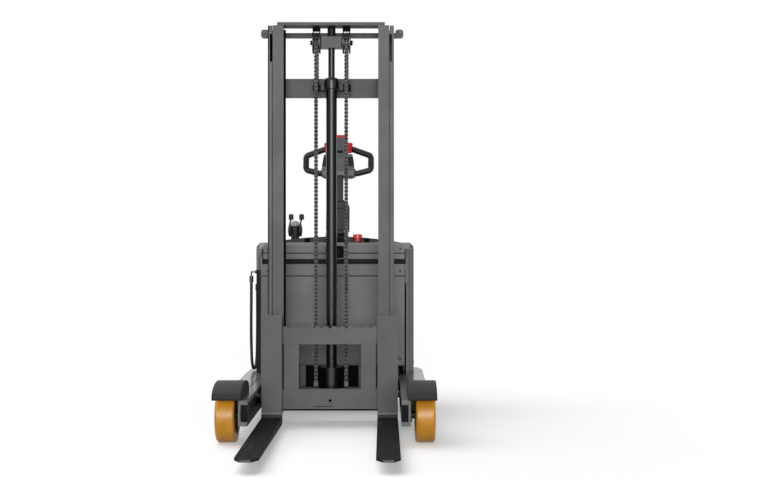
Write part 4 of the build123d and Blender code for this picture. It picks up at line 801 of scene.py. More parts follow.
BATTERY_CASE = Moulding("battery_case", shade(44, 46, 50), 0.5, 0.003, scale=600)
HOSE_COVER = Rubber("hose_cover", grey(22, 0), 0.55)
DISPLAY = Glaze("display_glass", shade(8, 10, 12), 0.1)
FORK = ForkCoat(
    "fork_coat", grey(22, 0), 0.66, gloss=0.08, shank=grey(108), tip=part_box("fork_left")[0].y, zones=(
        # Lighter line along the heel's bevel: a painted highlight.
        Zone("bevel of the heel", (-0.4, -0.06, 0.0775), (0.4, 0.0, 0.0835), grey(132), 0.5),
        Zone("foot of the heel", (-0.4, -0.06, 0.062), (0.4, 0.0, 0.0775), grey(62), 0.6),
    ),
)

DRESSED: dict[Finish, Sequence[str]] = {
    REAR_GREY: ("rear_panel",),
    CARRIAGE_GREY: ("carriage_frame",),
    TIE_GREY: ("mast_ties", "inner_top_bar", "inner_foot_tie"),
    SIDE_GREY: both("side_panel"),
    LEG_GREY: both("leg"),
    ARM_GREY: ("tiller_arm",),
    RAIL_GREY: both("outer_rail") + both("inner_rail"),
    REACH_GREY: ("reach_frame",),
    PANEL_GREY: ("front_panel",),
    HOOD_GREY: ("hood",),
    CROSSHEAD_GREY: ("crosshead",),
    FRAME_BLACK: ("chassis_frame",),
    DARK_COAT: ("steer_column",) + both("caster"),
    BLACK_COAT: ("lift_cylinder", "reach_cylinder"),
    ROD_DARK_REFLECTION: ("lift_rod",),
    FENDER: both("fender"),
    FORK: both("fork"),
    STEEL: ("mast_rollers", "carriage_rollers", "valve_block"),
    CHAIN_STEEL: ("lift_chains", "chain_tails", "chain_wraps", "load_axles"),
    DARK_STEEL: both("sheave") + ("chain_anchors", "reach_rollers", "hose_fittings"),
    CHROME: ("reach_rod",),
    IRON: ("drive_unit", "pump_unit"),
    ALUMINIUM: ("controller",),
    AMBER: both("load_wheel") + both("caster_wheel") + ("drive_wheel",),
    CONSOLE: ("lever_console",),
    HEAD_GREY: ("tiller_head",),
    BLACK: both("lever"),
    GRIP: ("tiller_handle",),
    BATTERY_CASE: ("battery",),
    RED: ("e_stop", "throttle", "belly_button"),
    HOSE_COVER: ("hose",),
}


def dress_nodes() -> None:
    """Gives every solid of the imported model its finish."""
    for finish, names in DRESSED.items():
        for name in names:
            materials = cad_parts[name].data.materials
            materials.clear()
            materials.append(finish.material())
            LOG.info("finish %s on %s", finish.name, name)


@dataclass
class Studio:
    """White floor, soft light from the front, above and the left, and the camera of the photograph."""

    camera_place: Point = (0.266, -5.6161, 0.930)
    lens: float = 53.44
    sensor: float = 36.0
    far: float = 200.0
    floor_size: float = 60.0
    floor_colour: Colour = (0.85, 0.85, 0.85, 1)
    floor_bounce: Colour = (0.2, 0.2, 0.2, 1)
    floor_lift: float = 0.31
    sky: float = 0.16
    top_from: Point = (-0.5, 0.1, 1.0)
    top_strength: float = 2.0
    top_width: float = math.radians(70)
    front_from: Point = (0.04, -1.0, 0.06)
    front_strength: float = 3.2
    front_width: float = math.radians(36)
    lamp_distance: float = 6.0

    def seen(self, sheet: NodeSheet) -> Socket:
        """Adds nodes that give 1 for what the camera sees directly, in gloss or through glass.

        Args:
            sheet: Node tree of the floor or the world.

        Returns:
            The switch's socket.
        """
        rays = sheet.add("ShaderNodeLightPath").outputs
        total = rays["Is Camera Ray"]
        for name in ("Is Glossy Ray", "Is Transmission Ray"):
            total = sheet.add("ShaderNodeMath", {0: total, 1: rays[name]}, operation="MAXIMUM").outputs[0]
        return total

    def lay_floor(self) -> None:
        """Makes the floor, which keeps the shadow and otherwise reads as white."""
        half = self.floor_size / 2
        corners = [(-half, -half, 0), (half, -half, 0), (half, half, 0), (-half, half, 0)]
        mesh = bpy.data.meshes.new("floor")
        mesh.from_pydata(corners, [], [(0, 1, 2, 3)])
        material = empty_material("pale_floor")
        sheet = NodeSheet(material.node_tree)
        seen = self.seen(sheet)
        tones = {0: seen, 6: self.floor_bounce, 7: self.floor_colour}
        tone = sheet.add("ShaderNodeMix", tones, data_type="RGBA")
        diffuse = sheet.add("ShaderNodeBsdfDiffuse", {"Color": tone.outputs[2]})
        strength = sheet.add("ShaderNodeMath", {0: seen, 1: self.floor_lift}, operation="MULTIPLY")
        lift = sheet.add("ShaderNodeEmission", {"Strength": strength.outputs[0]})
        both_lights = sheet.add("ShaderNodeAddShader", {0: diffuse.outputs[0], 1: lift.outputs[0]})
        sheet.add("ShaderNodeOutputMaterial", {"Surface": both_lights.outputs[0]})
        mesh.materials.append(material)
        put_in_scene("floor", mesh)

    def light(self) -> None:
        """Sets the sky and two broad lamps, one above and one in front."""
        world = bpy.data.worlds.new("white_studio")
        bpy.context.scene.world = world
        world.use_nodes = True
        sheet = NodeSheet(world.node_tree)
        inputs = {0: self.seen(sheet), 1: 1 - self.sky, 2: self.sky}
        level = sheet.add("ShaderNodeMath", inputs, operation="MULTIPLY_ADD").outputs[0]
        back = world.node_tree.nodes["Background"]
        sheet.plug(back.inputs["Color"], (1, 1, 1, 1))
        sheet.plug(back.inputs["Strength"], level)
        self.hang("top_lamp", self.top_from, self.top_strength, self.top_width)
        self.hang("front_lamp", self.front_from, self.front_strength, self.front_width)

    def hang(self, name: str, source: Point, strength: float, width: float) -> None:
        """Hangs a broad lamp that shines from one side.

        Args:
            name: Name of the lamp.
            source: Direction that it shines from.
            strength: Its strength.
            width: How wide it is, as an angle.
        """
        lamp = bpy.data.lights.new(name, "SUN")
        lamp.energy = strength
        lamp.angle = width
        holder = put_in_scene(name, lamp)
        holder.location = Vector(source) * self.lamp_distance
        holder.rotation_euler = Vector(source).to_track_quat("Z", "Y").to_euler()

    def set_camera(self) -> None:
        """Puts the camera where the photograph was taken from, level and square to the truck."""
        lens = bpy.data.cameras.new("photo_camera")
        lens.lens = self.lens
        lens.sensor_width = self.sensor
        lens.clip_end = self.far
        camera = put_in_scene("photo_camera", lens)
        camera.location = self.camera_place
        camera.rotation_euler = (math.pi / 2, 0, 0)
        bpy.context.scene.camera = camera

    def build(self) -> None:
        """Builds the whole studio."""
        self.set_camera()
        self.lay_floor()
        self.light()
        bpy.context.scene.view_settings.view_transform = "Standard"


def carry(piece: bpy.types.Object, body: str, slot: Slot, *nodes: str) -> bpy.types.Object:
    """Hands a piece to the body it moves with.

    Args:
        piece: Finished piece.
        body: Body that it rides on.
        slot: Material slot of the record; not used.
        nodes: Solids that it stands for.

    Returns:
        The piece.
    """
    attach(piece, body)
    if nodes:
        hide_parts(*nodes)
    LOG.info("piece %s on %s", piece.name, body)
    return piece


@dataclass(frozen=True)
class Box:
    """A block with rounded edges, by its lowest and highest corner."""

    low: Point
    high: Point
    soft: float


class Shape:
    """A mesh under way, in metres and in the truck's frame."""

    def __init__(self) -> None:
        """Starts with nothing."""
        self.mesh = bmesh.new()

    def take(self, part: bmesh.types.BMesh, place: Matrix) -> None:
        """Moves a part into place and joins it to the shape.

        Args:
            part: Part in its own frame, which is used up.
            place: Where it goes.
        """
        bmesh.ops.recalc_face_normals(part, faces=part.faces)
        carried = bpy.data.meshes.new("carried")
        part.to_mesh(carried)
        part.free()
        carried.transform(place)
        self.mesh.from_mesh(carried)
        bpy.data.meshes.remove(carried)

    def soften(self, part: bmesh.types.BMesh, soft: float, steps: int) -> None:
        """Rounds every edge of a part."""
        rounding = {"offset": soft, "segments": steps, "profile": 0.5, "clamp_overlap": True}
        bmesh.ops.bevel(part, geom=part.edges[:], affect="EDGES", **rounding)

    def block(self, low: Point, high: Point, soft: float, place: Matrix = Matrix(), steps: int = 2) -> None:
        """Adds a block with rounded edges.

        Args:
            low: Lowest corner.
            high: Highest corner.
            soft: Radius of its edges.
            place: Frame that the corners are in.
            steps: Faces across a rounded edge.
        """
        part = bmesh.new()
        bmesh.ops.create_cube(part, size=1)
        bmesh.ops.scale(part, vec=Vector(high) - Vector(low), verts=part.verts)
        bmesh.ops.translate(part, vec=(Vector(high) + Vector(low)) / 2, verts=part.verts)
        self.soften(part, soft, steps)
        self.take(part, place)

    def boxes(self, *boxes: Box, place: Matrix = Matrix()) -> None:
        """Adds blocks that are given as boxes in one frame."""
        for box in boxes:
            self.block(box.low, box.high, box.soft, place)

    def twins(self, inner: Point, outer: Point, soft: float, place: Matrix = Matrix()) -> None:
        """Adds two blocks that mirror each other across the truck's middle.

        Args:
            inner: Lowest corner of the right one.
            outer: Highest corner of the right one.
            soft: Radius of their edges.
            place: Frame that the corners are in.
        """
        for side in SIDES:
            low, high = sorted((side * inner[0], side * outer[0]))
            self.block((low, *inner[1:]), (high, *outer[1:]), soft, place)

    def prism(
        self, outline: Sequence[Pair], low: float, high: float, place: Matrix = Matrix(), soft: float = 0.0
    ) -> None:
        """Adds an outline raised from one level to another.

        Args:
            outline: Corners in the place's XY plane, in order.
            low: First level along its Z.
            high: Second level.
            place: Frame of the outline.
            soft: Radius of its edges, 0 for sharp ones.
        """
        part = bmesh.new()
        rings = [[part.verts.new((u, v, level)) for u, v in outline] for level in (low, high)]
        for ring in rings:
            part.faces.new(ring)
        for index in range(len(outline)):
            after = (index + 1) % len(outline)
            part.faces.new((rings[0][index], rings[0][after], rings[1][after], rings[1][index]))
        if soft:
            self.soften(part, soft, 2)
        self.take(part, place)

    def turned(
        self, profile: Sequence[Pair], axis: Axis, centre: Point, count: int = 32, ring: bool = False
    ) -> None:
        """Adds a profile spun about an axis.

        Args:
            profile: Pairs of place along the axis and radius, where radius 0 closes an end.
            axis: Axis of the spin.
            centre: Point on the axis that the places are measured from.
            count: Faces round.
            ring: True where the profile closes on itself.
        """
        part = bmesh.new()
        angles = [2 * math.pi * index / count for index in range(count)]
        rings = []
        for along, radius in profile:
            if radius == 0:
                spots = [(0, 0, along)]
            else:
                spots = [(radius * math.cos(angle), radius * math.sin(angle), along) for angle in angles]
            rings.append([part.verts.new(spot) for spot in spots])
        pairs = list(zip(rings, rings[1:]))
        if ring:
            pairs.append((rings[-1], rings[0]))
        for first, second in pairs:
            for index in range(count):
                after = index + 1
                corners = (
                    first[index % len(first)],
                    first[after % len(first)],
                    second[after % len(second)],
                    second[index % len(second)],
                )
                part.faces.new(list(dict.fromkeys(corners)))
        turn = axis.value.to_track_quat("Z", "Y").to_matrix().to_4x4()
        self.take(part, Matrix.Translation(centre) @ turn)

    def tube(self, path: Sequence[Vector], radius: float, count: int = 12) -> None:
        """Adds a round bar along points, closed at both ends, with a UV map that runs along it.

        Args:
            path: Points that its middle follows.
            radius: Its radius.
            count: Faces round.
        """
        part = bmesh.new()
        layer = part.loops.layers.uv.new("along")
        steps = [after - before for before, after in zip(path, path[1:])]
        run = [0.0]
        for step in steps:
            run.append(run[-1] + step.length)
        ways = [step.normalized() for step in steps]
        headings = [ways[0]] + [(a + b).normalized() for a, b in zip(ways, ways[1:])] + [ways[-1]]
        angles = [2 * math.pi * index / count for index in range(count)]
        side = headings[0].orthogonal().normalized()
        rings = []
        for point, heading in zip(path, headings):
            side = (side - heading * side.dot(heading)).normalized()
            other = heading.cross(side)
            rim = [point + radius * (math.cos(angle) * side + math.sin(angle) * other) for angle in angles]
            rings.append([part.verts.new(spot) for spot in rim])
        for level, (first, second) in enumerate(zip(rings, rings[1:])):
            for index in range(count):
                after = (index + 1) % count
                face = part.faces.new((first[index], first[after], second[after], second[index]))
                ends = ((level, index), (level, index + 1), (level + 1, index + 1), (level + 1, index))
                for loop, (along, around) in zip(face.loops, ends):
                    loop[layer].uv = (run[along], around / count)
        part.faces.new(rings[0])
        part.faces.new(rings[-1])
        self.take(part, Matrix())

    def make(self, name: str, finish: Finish) -> bpy.types.Object:
        """Turns the shape into an object at the origin, with even normals on its flat faces.

        Args:
            name: Name of the piece.
            finish: Its finish.

        Returns:
            The object.
        """
        mesh = bpy.data.meshes.new(name)
        self.mesh.to_mesh(mesh)
        self.mesh.free()
        mesh.materials.append(finish.material())
        mesh.shade_smooth()
        mesh.set_sharp_from_angle(angle=SMOOTH_ANGLE)
        piece = put_in_scene(name, mesh)
        piece.modifiers.new("even_normals", "WEIGHTED_NORMAL").keep_sharp = True
        return piece

    def model(self, name: str, finish: Finish) -> bpy.types.Object:
        """Turns the shape into an object to copy from.

        Args:
            name: Name of the object.
            finish: Its finish.

        Returns:
            The object, kept out of the scene.
        """
        piece = self.make(name, finish)
        bpy.context.scene.collection.objects.unlink(piece)
        return piece

    def fit(self, name: str, finish: Finish, body: str, slot: Slot, *nodes: str) -> bpy.types.Object:
        """Turns the shape into a piece and hands it to its body, as make and carry do."""
        return carry(self.make(name, finish), body, slot, *nodes)


class GrowthTree(NodeSheet):
    """A Geometry Nodes tree with named inputs, which ends in a plain mesh with one finish."""

    def __init__(self, name: str) -> None:
        """Starts a tree.

        Args:
            name: Name of the tree.
        """
        super().__init__(bpy.data.node_groups.new(name, "GeometryNodeTree"))
        self.start = self.add("NodeGroupInput")
        self.base = self.entry("Geometry", "Geometry")
        self.tree.interface.new_socket("Geometry", in_out="OUTPUT", socket_type="NodeSocketGeometry")

    def entry(self, name: str, kind: str) -> Socket:
        """Adds a named input of the given kind and gives its socket."""
        self.tree.interface.new_socket(name, in_out="INPUT", socket_type="NodeSocket" + kind)
        return self.start.outputs[name]

    def shape_of(self, name: str) -> Socket:
        """Adds an object input and gives its shape as an instance."""
        inputs = {"Object": self.entry(name, "Object"), "As Instance": True}
        return self.add("GeometryNodeObjectInfo", inputs).outputs["Geometry"]

    def close(self, instances: Socket) -> None:
        """Makes instances real, gives them their finish and ends the tree.

        Args:
            instances: Socket of the instances.
        """
        real = self.add("GeometryNodeRealizeInstances", {"Geometry": instances}).outputs["Geometry"]
        finish = self.entry("Finish", "Material")
        coat = self.add("GeometryNodeSetMaterial", {"Geometry": real, "Material": finish})
        self.add("NodeGroupOutput", {"Geometry": coat.outputs["Geometry"]})

    def grow(self, base: bpy.types.Object, name: str, **values: Any) -> bpy.types.Object:
        """Runs the tree on a base and keeps the result as a plain mesh.

        Args:
            base: Object with the points or lines to start from, which is used up.
            name: Name of the piece.
            values: Inputs by name, with an underscore for a space.

        Returns:
            The piece.
        """
        modifier = base.modifiers.new(name, "NODES")
        modifier.node_group = self.tree
        for item in self.tree.interface.items_tree:
            key = item.name.replace(" ", "_")
            if item.in_out == "INPUT" and key in values:
                modifier[item.identifier] = values[key]
        view = bpy.context.evaluated_depsgraph_get()
        mesh = bpy.data.meshes.new_from_object(base.evaluated_get(view), depsgraph=view)
        base.modifiers.remove(modifier)
        bpy.data.objects.remove(base)
        return put_in_scene(name, mesh)


def points_to_grow_on(
    name: str, points: Sequence[Point], edges: Sequence[tuple[int, int]] = ()
) -> bpy.types.Object:
    """Makes an object of points and edges for a tree to start from.

    Args:
        name: Name of the object.
        points: Its points.
        edges: Pairs of numbers of points that an edge joins.

    Returns:
        The object.
    """
    mesh = bpy.data.meshes.new(name)
    mesh.from_pydata(list(points), list(edges), [])
    return put_in_scene(name, mesh)


class Head(Enum):
    """Kinds of fastener head."""

    HEX = "hex_head"
    SOCKET = "socket_head"
    DOME = "dome_head"


@dataclass
class Fasteners:
    """Screw and bolt heads, modelled with radius 1 and set on surfaces by one Geometry Nodes tree."""

    seed: int = 7
    washer: Sequence[Pair] = ((0, 0), (0, 1.0), (0.112, 1.0), (0.16, 0.94), (0.16, 0))
    hex_corner: float = 0.82
    hex_foot: float = 0.08
    hex_height: float = 0.62
    hex_soft: float = 0.05
    hex_crown: Sequence[Pair] = ((-0.1, 0), (-0.1, 0.62), (0.05, 0.55), (0.05, 0))
    socket_profile: Sequence[Pair] = (
        (0, 0), (0, 1.0), (0.7, 1.0), (0.85, 0.88), (0.85, 0.55), (0.78, 0.5), (0.35, 0.5), (0.3, 0),
    )
    dome_profile: Sequence[Pair] = (
        (0, 0), (0, 1.0), (0.12, 0.98), (0.32, 0.82), (0.45, 0.55), (0.46, 0.42), (0.2, 0.4), (0.16, 0),
    )
    washer_faces: int = 20
    head_faces: int = 18
    tree: GrowthTree = field(init=False)
    heads: dict[Head, bpy.types.Object] = field(init=False)

    def __post_init__(self) -> None:
        """Builds the tree and one head of each kind."""
        shapes = {
            Head.HEX: self.hex_head(),
            Head.SOCKET: self.round_head(self.socket_profile),
            Head.DOME: self.round_head(self.dome_profile),
        }
        self.tree = self.build_tree()
        self.heads = {head: shape.model(head.value, ZINC) for head, shape in shapes.items()}

    def build_tree(self) -> GrowthTree:
        """Builds the tree that sets heads on points, each with its own turn.

        Returns:
            The tree, with inputs Head, Size, Seed and Finish.
        """
        sheet = GrowthTree("fastener_heads")
        facing = sheet.add("GeometryNodeInputNamedAttribute", {"Name": "facing"}, data_type="FLOAT_VECTOR")
        aim = {"Vector": facing.outputs["Attribute"]}
        upright = sheet.add("FunctionNodeAlignRotationToVector", aim, axis="Z")
        limits = {3: 2 * math.pi, "Seed": sheet.entry("Seed", "Int")}
        chance = sheet.add("FunctionNodeRandomValue", limits, data_type="FLOAT")
        angles = sheet.add("ShaderNodeCombineXYZ", {"Z": chance.outputs[1]})
        spin = sheet.add("FunctionNodeEulerToRotation", {0: angles.outputs[0]})
        turns = {"Rotation": upright.outputs[0], "Rotate By": spin.outputs[0]}
        turned = sheet.add("FunctionNodeRotateRotation", turns, rotation_space="LOCAL")
        heads = sheet.add("GeometryNodeInstanceOnPoints", {
            "Points": sheet.base,
            "Instance": sheet.shape_of("Head"),
            "Rotation": turned.outputs[0],
            "Scale": sheet.entry("Size", "Float"),
        })
        sheet.close(heads.outputs["Instances"])
        return sheet

    def hex_head(self) -> Shape:
        """Shapes a hexagon head on a washer.

        Returns:
            The head, facing up.
        """
        shape = Shape()
        shape.turned(self.washer, Axis.UP, ORIGIN, self.washer_faces)
        angles = [index * math.pi / 3 for index in range(6)]
        corners = [(self.hex_corner * math.cos(angle), self.hex_corner * math.sin(angle)) for angle in angles]
        shape.prism(corners, self.hex_foot, self.hex_height, soft=self.hex_soft)
        shape.turned(self.hex_crown, Axis.UP, (0, 0, self.hex_height), self.head_faces)
        return shape

    def round_head(self, profile: Sequence[Pair]) -> Shape:
        """Shapes a round head with a driver socket.

        Args:
            profile: Pairs of height and radius.

        Returns:
            The head, facing up.
        """
        shape = Shape()
        shape.turned(profile, Axis.UP, ORIGIN, self.head_faces)
        return shape

    def set(
        self,
        name: str,
        body: str,
        head: Head,
        size: float,
        places: Sequence[tuple[Point, Point]],
        finish: Finish = ZINC,
    ) -> None:
        """Sets a group of heads on one body.

        Args:
            name: Name of the piece.
            body: Body that they ride on.
            head: Kind of head.
            size: Radius of the head or its washer.
            places: Pairs of a point on a surface and the way that it faces.
            finish: Their finish.
        """
        base = points_to_grow_on(name + "_points", [point for point, _ in places])
        facing = base.data.attributes.new("facing", "FLOAT_VECTOR", "POINT")
        for item, (_, way) in zip(facing.data, places):
            item.vector = way
        values = {"Head": self.heads[head], "Size": size, "Seed": self.seed, "Finish": finish.material()}
        carry(self.tree.grow(base, name, **values), body, Slot.BARE_STEEL)


@dataclass
class Rows:
    """Rows of one shape, such as louvres and ribs, laid by one Geometry Nodes tree."""

    tree: GrowthTree = field(init=False)

    def __post_init__(self) -> None:
        """Builds the tree, with inputs Count, Step, Item and Finish."""
        sheet = GrowthTree("row_of_shapes")
        spacing = {"Count": sheet.entry("Count", "Int"), "Offset": sheet.entry("Step", "Vector")}
        line = sheet.add("GeometryNodeMeshLine", spacing, mode="OFFSET").outputs["Mesh"]
        lines = sheet.add("GeometryNodeInstanceOnPoints", {"Points": sheet.base, "Instance": line})
        laid = sheet.add("GeometryNodeRealizeInstances", {"Geometry": lines.outputs["Instances"]})
        spots = {"Points": laid.outputs["Geometry"], "Instance": sheet.shape_of("Item")}
        sheet.close(sheet.add("GeometryNodeInstanceOnPoints", spots).outputs["Instances"])
        self.tree = sheet

    def lay(
        self, name: str, item: Shape, finish: Finish, starts: Sequence[Point], count: int, step: float
    ) -> bpy.types.Object:
        """Lays upright rows of a shape.

        Args:
            name: Name of the piece.
            item: Shape to repeat, about the origin.
            finish: Its finish.
            starts: Where each row starts.
            count: Shapes in a row.
            step: Rise from one shape to the next.

        Returns:
            All rows as one piece.
        """
        model = item.model(name + "_item", finish)
        base = points_to_grow_on(name + "_starts", starts)
        values = {"Count": count, "Step": (0, 0, step), "Item": model, "Finish": finish.material()}
        return self.tree.grow(base, name, **values)


@dataclass(frozen=True)
class LinkSizes:
    """A chain link: where its plates lie, and its pins or rollers."""

    plate_inside: float
    plate_outside: float
    pin: float
    pin_reach: float


@dataclass
class LiftChains:
    """Two roller chains, from the carriage over the sheaves and down to the outer mast's anchors."""

    spacing: float = 0.076
    front_y: float = 0.1212
    back_y: float = 0.2072
    bottom_z: float = 0.215
    sheave_z: float = 1.929
    tail_z: float = 1.743
    pitch: float = 0.0189
    front_links: int = 91
    wrap_links: int = 7
    wrap_steps: int = 24
    tail_links: int = 10
    lobe: float = 0.008
    lobe_angles: Sequence[float] = (-78, -30, 30, 78)
    waist: float = 0.0052
    core: float = 0.0044
    core_depth: float = 0.003
    core_soft: float = 0.001
    pin_faces: int = 8
    outer_link: LinkSizes = LinkSizes(0.0068, 0.0088, 0.0028, 0.0104)
    inner_link: LinkSizes = LinkSizes(0.0046, 0.0065, 0.0074, 0.0046)
    keep: float = 0.147

    def link(self, name: str, sizes: LinkSizes) -> bpy.types.Object:
        """Makes one link, centred at the origin and standing along Z.

        Args:
            name: Name of the link.
            sizes: Its plates and pins.

        Returns:
            The link, kept out of the scene.
        """
        shape = Shape()
        half = self.pitch / 2
        angles = [math.radians(degrees) for degrees in self.lobe_angles]
        upper = [(self.lobe * math.sin(angle), half + self.lobe * math.cos(angle)) for angle in angles]
        lower = [(-u, -v) for u, v in upper]
        outline = upper + [(self.waist, 0)] + lower + [(-self.waist, 0)]
        for side in SIDES:
            shape.prism(outline, side * sizes.plate_inside, side * sizes.plate_outside, FLANK)
        core = (self.core, self.core_depth, half)
        shape.block(tuple(-reach for reach in core), core, self.core_soft, steps=1)
        reach, pin = sizes.pin_reach, sizes.pin
        for side in SIDES:
            profile = ((-reach, 0), (-reach, pin), (reach, pin), (reach, 0))
            shape.turned(profile, Axis.ACROSS, (0, 0, side * half), self.pin_faces)
        return shape.model(name, CHAIN_STEEL)

    def build_tree(self) -> GrowthTree:
        """Builds the tree that strings outer and inner links along lines, in turn.

        Returns:
            The tree, with inputs Links, Phase, Outer Link, Inner Link and Finish.
        """
        sheet = GrowthTree("chain_run")
        line = sheet.add("GeometryNodeMeshToCurve", {"Mesh": sheet.base}).outputs["Curve"]
        spacing = {"Curve": line, "Count": sheet.entry("Links", "Int")}
        spaced = sheet.add("GeometryNodeResampleCurve", spacing, mode="COUNT").outputs["Curve"]
        heading = {"Vector": sheet.add("GeometryNodeInputTangent").outputs["Tangent"]}
        upright = sheet.add("FunctionNodeAlignRotationToVector", heading, axis="Z", pivot_axis="X")
        index = sheet.add("GeometryNodeSplineParameter").outputs["Index"]
        number = sheet.add("ShaderNodeMath", {0: index, 1: sheet.entry("Phase", "Int")}, operation="ADD")
        odd = sheet.add("ShaderNodeMath", {0: number.outputs[0], 1: 2}, operation="MODULO")
        even = sheet.add("ShaderNodeMath", {0: 1, 1: odd.outputs[0]}, operation="SUBTRACT")
        chain = sheet.add("GeometryNodeJoinGeometry")
        for name, chosen in (("Outer Link", even), ("Inner Link", odd)):
            links = sheet.add("GeometryNodeInstanceOnPoints", {
                "Points": spaced,
                "Selection": chosen.outputs[0],
                "Instance": sheet.shape_of(name),
                "Rotation": upright.outputs[0],
            })
            sheet.plug(chain.inputs[0], links.outputs["Instances"])
        sheet.close(chain.outputs[0])
        return sheet

    def lines(self, name: str, path: Sequence[Pair]) -> bpy.types.Object:
        """Makes the lines that both chains follow.

        Args:
            name: Name of the object.
            path: Pairs of Y and Z.

        Returns:
            The object, with one line for each chain.
        """
        points = [(side * self.spacing, y, z) for side in SIDES for y, z in path]
        starts = [run * len(path) + index for run in range(len(SIDES)) for index in range(len(path) - 1)]
        return points_to_grow_on(name, points, [(start, start + 1) for start in starts])

    def wrap(self) -> list[Pair]:
        """Gives the half turn over a sheave, from the first wrapped link's middle to the last one's.

        Returns:
            Pairs of Y and Z.
        """
        middle = (self.front_y + self.back_y) / 2
        radius = (self.back_y - self.front_y) / 2
        lead = math.pi / self.wrap_links / 2
        sweep = math.pi - 2 * lead
        angles = [math.pi - lead - sweep * step / self.wrap_steps for step in range(self.wrap_steps + 1)]
        return [(middle + radius * math.cos(a), self.sheave_z + radius * math.sin(a)) for a in angles]

    def build(self) -> None:
        """Builds the front runs, the turns over the sheaves and the tails behind."""
        tree = self.build_tree()
        values = {
            "Outer_Link": self.link("outer_link", self.outer_link),
            "Inner_Link": self.link("inner_link", self.inner_link),
            "Finish": CHAIN_STEEL.material(),
        }
        half = self.pitch / 2
        front = [(self.front_y, self.bottom_z + half), (self.front_y, self.sheave_z - half)]
        lines = self.lines("front_line", front)
        run = tree.grow(lines, "front_chain_runs", Links=self.front_links, Phase=0, **values)
        carry(run, "carriage", Slot.BARE_STEEL, "lift_chains")
        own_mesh(run)
        lines = self.lines("turn_line", self.wrap())
        over = tree.grow(lines, "chain_turns", Links=self.wrap_links, Phase=0, **values)
        carry(over, "mast_inner", Slot.BARE_STEEL, "chain_wraps")
        back = [(self.back_y, self.sheave_z - half), (self.back_y, self.tail_z + half)]
        lines = self.lines("tail_line", back)
        tails = tree.grow(lines, "rear_chain_runs", Links=self.tail_links, Phase=1, **values)
        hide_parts("chain_tails")
        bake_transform(tails)
        LOG.info("piece %s between mast_outer and mast_inner", tails.name)


@dataclass
class HoseLoop:
    """The hydraulic hose that hangs in one loop on the left flank."""

    diameter: float = 0.016
    length: float = 0.983
    faces: int = 16
    smoothness: int = 16
    route: Sequence[Point] = (
        (-0.4550, 0.58089, 0.702), (-0.4550, 0.58089, 0.620), (-0.4560, 0.57789, 0.480),
        (-0.4550, 0.57989, 0.360), (-0.4520, 0.58089, 0.267), (-0.4490, 0.62189, 0.226),
        (-0.4440, 0.67989, 0.226), (-0.4410, 0.72089, 0.267), (-0.4390, 0.72289, 0.360),
        (-0.4380, 0.72389, 0.470), (-0.4380, 0.72089, 0.570), (-0.4380, 0.72089, 0.652),
    )

    def line(self) -> list[Vector]:
        """Lays a smooth spline over the route.

        Returns:
            Points along the spline.
        """
        curve = bpy.data.curves.new("hose_line", "CURVE")
        curve.dimensions = "3D"
        curve.resolution_u = self.smoothness
        spline = curve.splines.new("NURBS")
        spline.points.add(len(self.route) - 1)
        for point, place in zip(spline.points, self.route):
            point.co = (*place, 1)
        spline.order_u = 3
        spline.use_endpoint_u = True
        holder = put_in_scene("hose_line", curve)
        view = bpy.context.evaluated_depsgraph_get()
        mesh = bpy.data.meshes.new_from_object(holder.evaluated_get(view), depsgraph=view)
        points = [vertex.co.copy() for vertex in mesh.vertices]
        bpy.data.objects.remove(holder)
        bpy.data.meshes.remove(mesh)
        return points

    def build(self) -> None:
        path = self.line()
        shape = Shape()
        shape.tube(path, self.diameter / 2, self.faces)
        hose = shape.fit("hanging_hose", HOSE_COVER, "chassis", Slot.HOSE_RUBBER, "hose")


